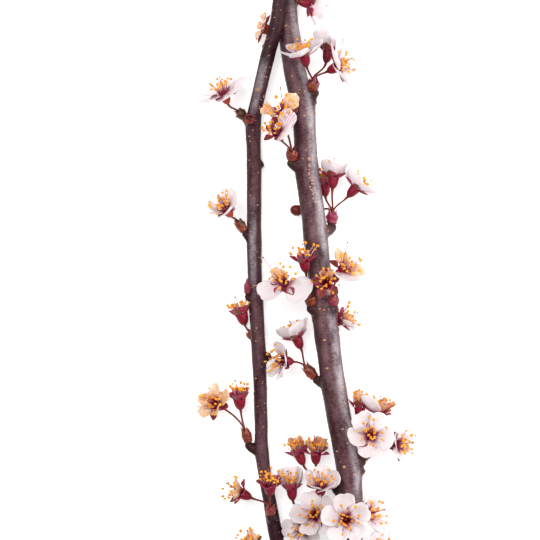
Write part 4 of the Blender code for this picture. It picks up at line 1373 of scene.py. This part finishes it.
# %% Put every spur's pieces together
SCALE_THICKNESS = 0.22
SPRAY_PARTS = ("cups", "sepals", "stalks", "filaments", "anthers", "pistils")
for name in SPURS:
    node = name if name.startswith("bud") else "spray_" + name
    scales, cores = new_bmesh(), new_bmesh()
    add_scales(name, scales, cores)
    finish_piece(node + "_scales", scales, "bud_scale", [node], SCALE_THICKNESS)
    finish_piece(node + "_scale_core", cores, "bud_core")
    if node == name:
        continue
    parts = {word: new_bmesh() for word in SPRAY_PARTS}
    cups, sepals, stalks, *stamens = parts.values()
    add_cups(name, cups, sepals, stalks)
    for blossom_name, blossom in BLOSSOMS.items():
        if blossom.spur == name:
            add_stamens(blossom_name, blossom, *stamens)
    for word, bm in parts.items():
        if bm.verts:
            thickness = SEPAL_THICKNESS if word == "sepals" else 0.0
            finish_piece(f"{node}_{word}", bm, word[:-1], [node], thickness)
print("pieces:", len(pieces))

# %% [markdown]
# ## Floor, light and camera
#
# The branch lies on a plain pale floor. The light is a white studio: a bright surround, a broad
# soft light on the right that adds a sheen to the painted highlight along the stems, and a weaker
# one from the upper left. The camera looks straight down from as far as the photograph's long lens,
# with the branch where the photograph has it.

# %% Floor and light
WHITE = (1.0, 1.0, 1.0, 1.0)

# The floor's greys, half its width in metres, and how brightly it and the surround glow.
FLOOR_GREYS = (0.90, 0.90, 0.90, 1.0), (0.93, 0.93, 0.93, 1.0)
FLOOR_HALF = 3.0
FLOOR_GLOW, WORLD_GLOW = 0.55, 0.36

# Lamps: place and size in metres, and power in watts.
LAMPS = {
    "right": ((0.75, 0.05, 0.45), (0.3, 1.0), 7.0),
    "upper_left": ((-0.25, 0.3, 0.85), (0.3, 0.6), 5.6),
}

# The view's width, its middle and the camera's height over it in metres, and the width of the
# camera's sensor in millimetres.
VIEW_SIZE = 0.270
VIEW_CENTRE = at((-15, 0, 12)) * MM
CAMERA_HEIGHT = 0.9
SENSOR = 36.0


def make_floor():
    glow = {"Emission_Color": WHITE, "Emission_Strength": FLOOR_GLOW}
    graph = Graph("floor", 0.9, Specular_IOR_Level=0.1, **glow)
    graph.paint(graph.noise(0.02).mix(*FLOOR_GREYS))
    bm = bmesh.new()
    bmesh.ops.create_grid(bm, x_segments=1, y_segments=1, size=FLOOR_HALF)
    floor = into_scene("floor", into_mesh("floor", bm))
    floor.data.materials.append(materials["floor"])


def make_area_light(name, place, size, power):
    """A soft light at place, in metres, that looks at the middle of the view."""
    light = bpy.data.lights.new(name, "AREA")
    light.shape = "RECTANGLE"
    light.size, light.size_y = size
    light.energy = power
    lamp = into_scene(name, light)
    lamp.location = place
    lamp.rotation_mode = "QUATERNION"
    lamp.rotation_quaternion = (Vector(place) - VIEW_CENTRE).to_track_quat("Z", "Y")


make_floor()
world = bpy.data.worlds.new("studio")
world.use_nodes = True
world.node_tree.nodes["Background"].inputs["Color"].default_value = WHITE
world.node_tree.nodes["Background"].inputs["Strength"].default_value = WORLD_GLOW
bpy.context.scene.world = world
for name, (place, size, power) in LAMPS.items():
    make_area_light(name, place, size, power)

# %% Camera
camera_data = bpy.data.cameras.new("camera")
camera_data.sensor_width = SENSOR
camera_data.lens = SENSOR * CAMERA_HEIGHT / VIEW_SIZE
camera_data.clip_end = 10.0
camera = into_scene("camera", camera_data)
camera.location = VIEW_CENTRE + Vector((0, 0, CAMERA_HEIGHT))
bpy.context.scene.camera = camera
bpy.context.scene.view_settings.view_transform = "Standard"
print("camera looks down from", round(camera.location.z, 3), "m")

# %% Sizes, and the end
print("faces of all pieces:", sum(len(p.data.polygons) for p in pieces.values()))
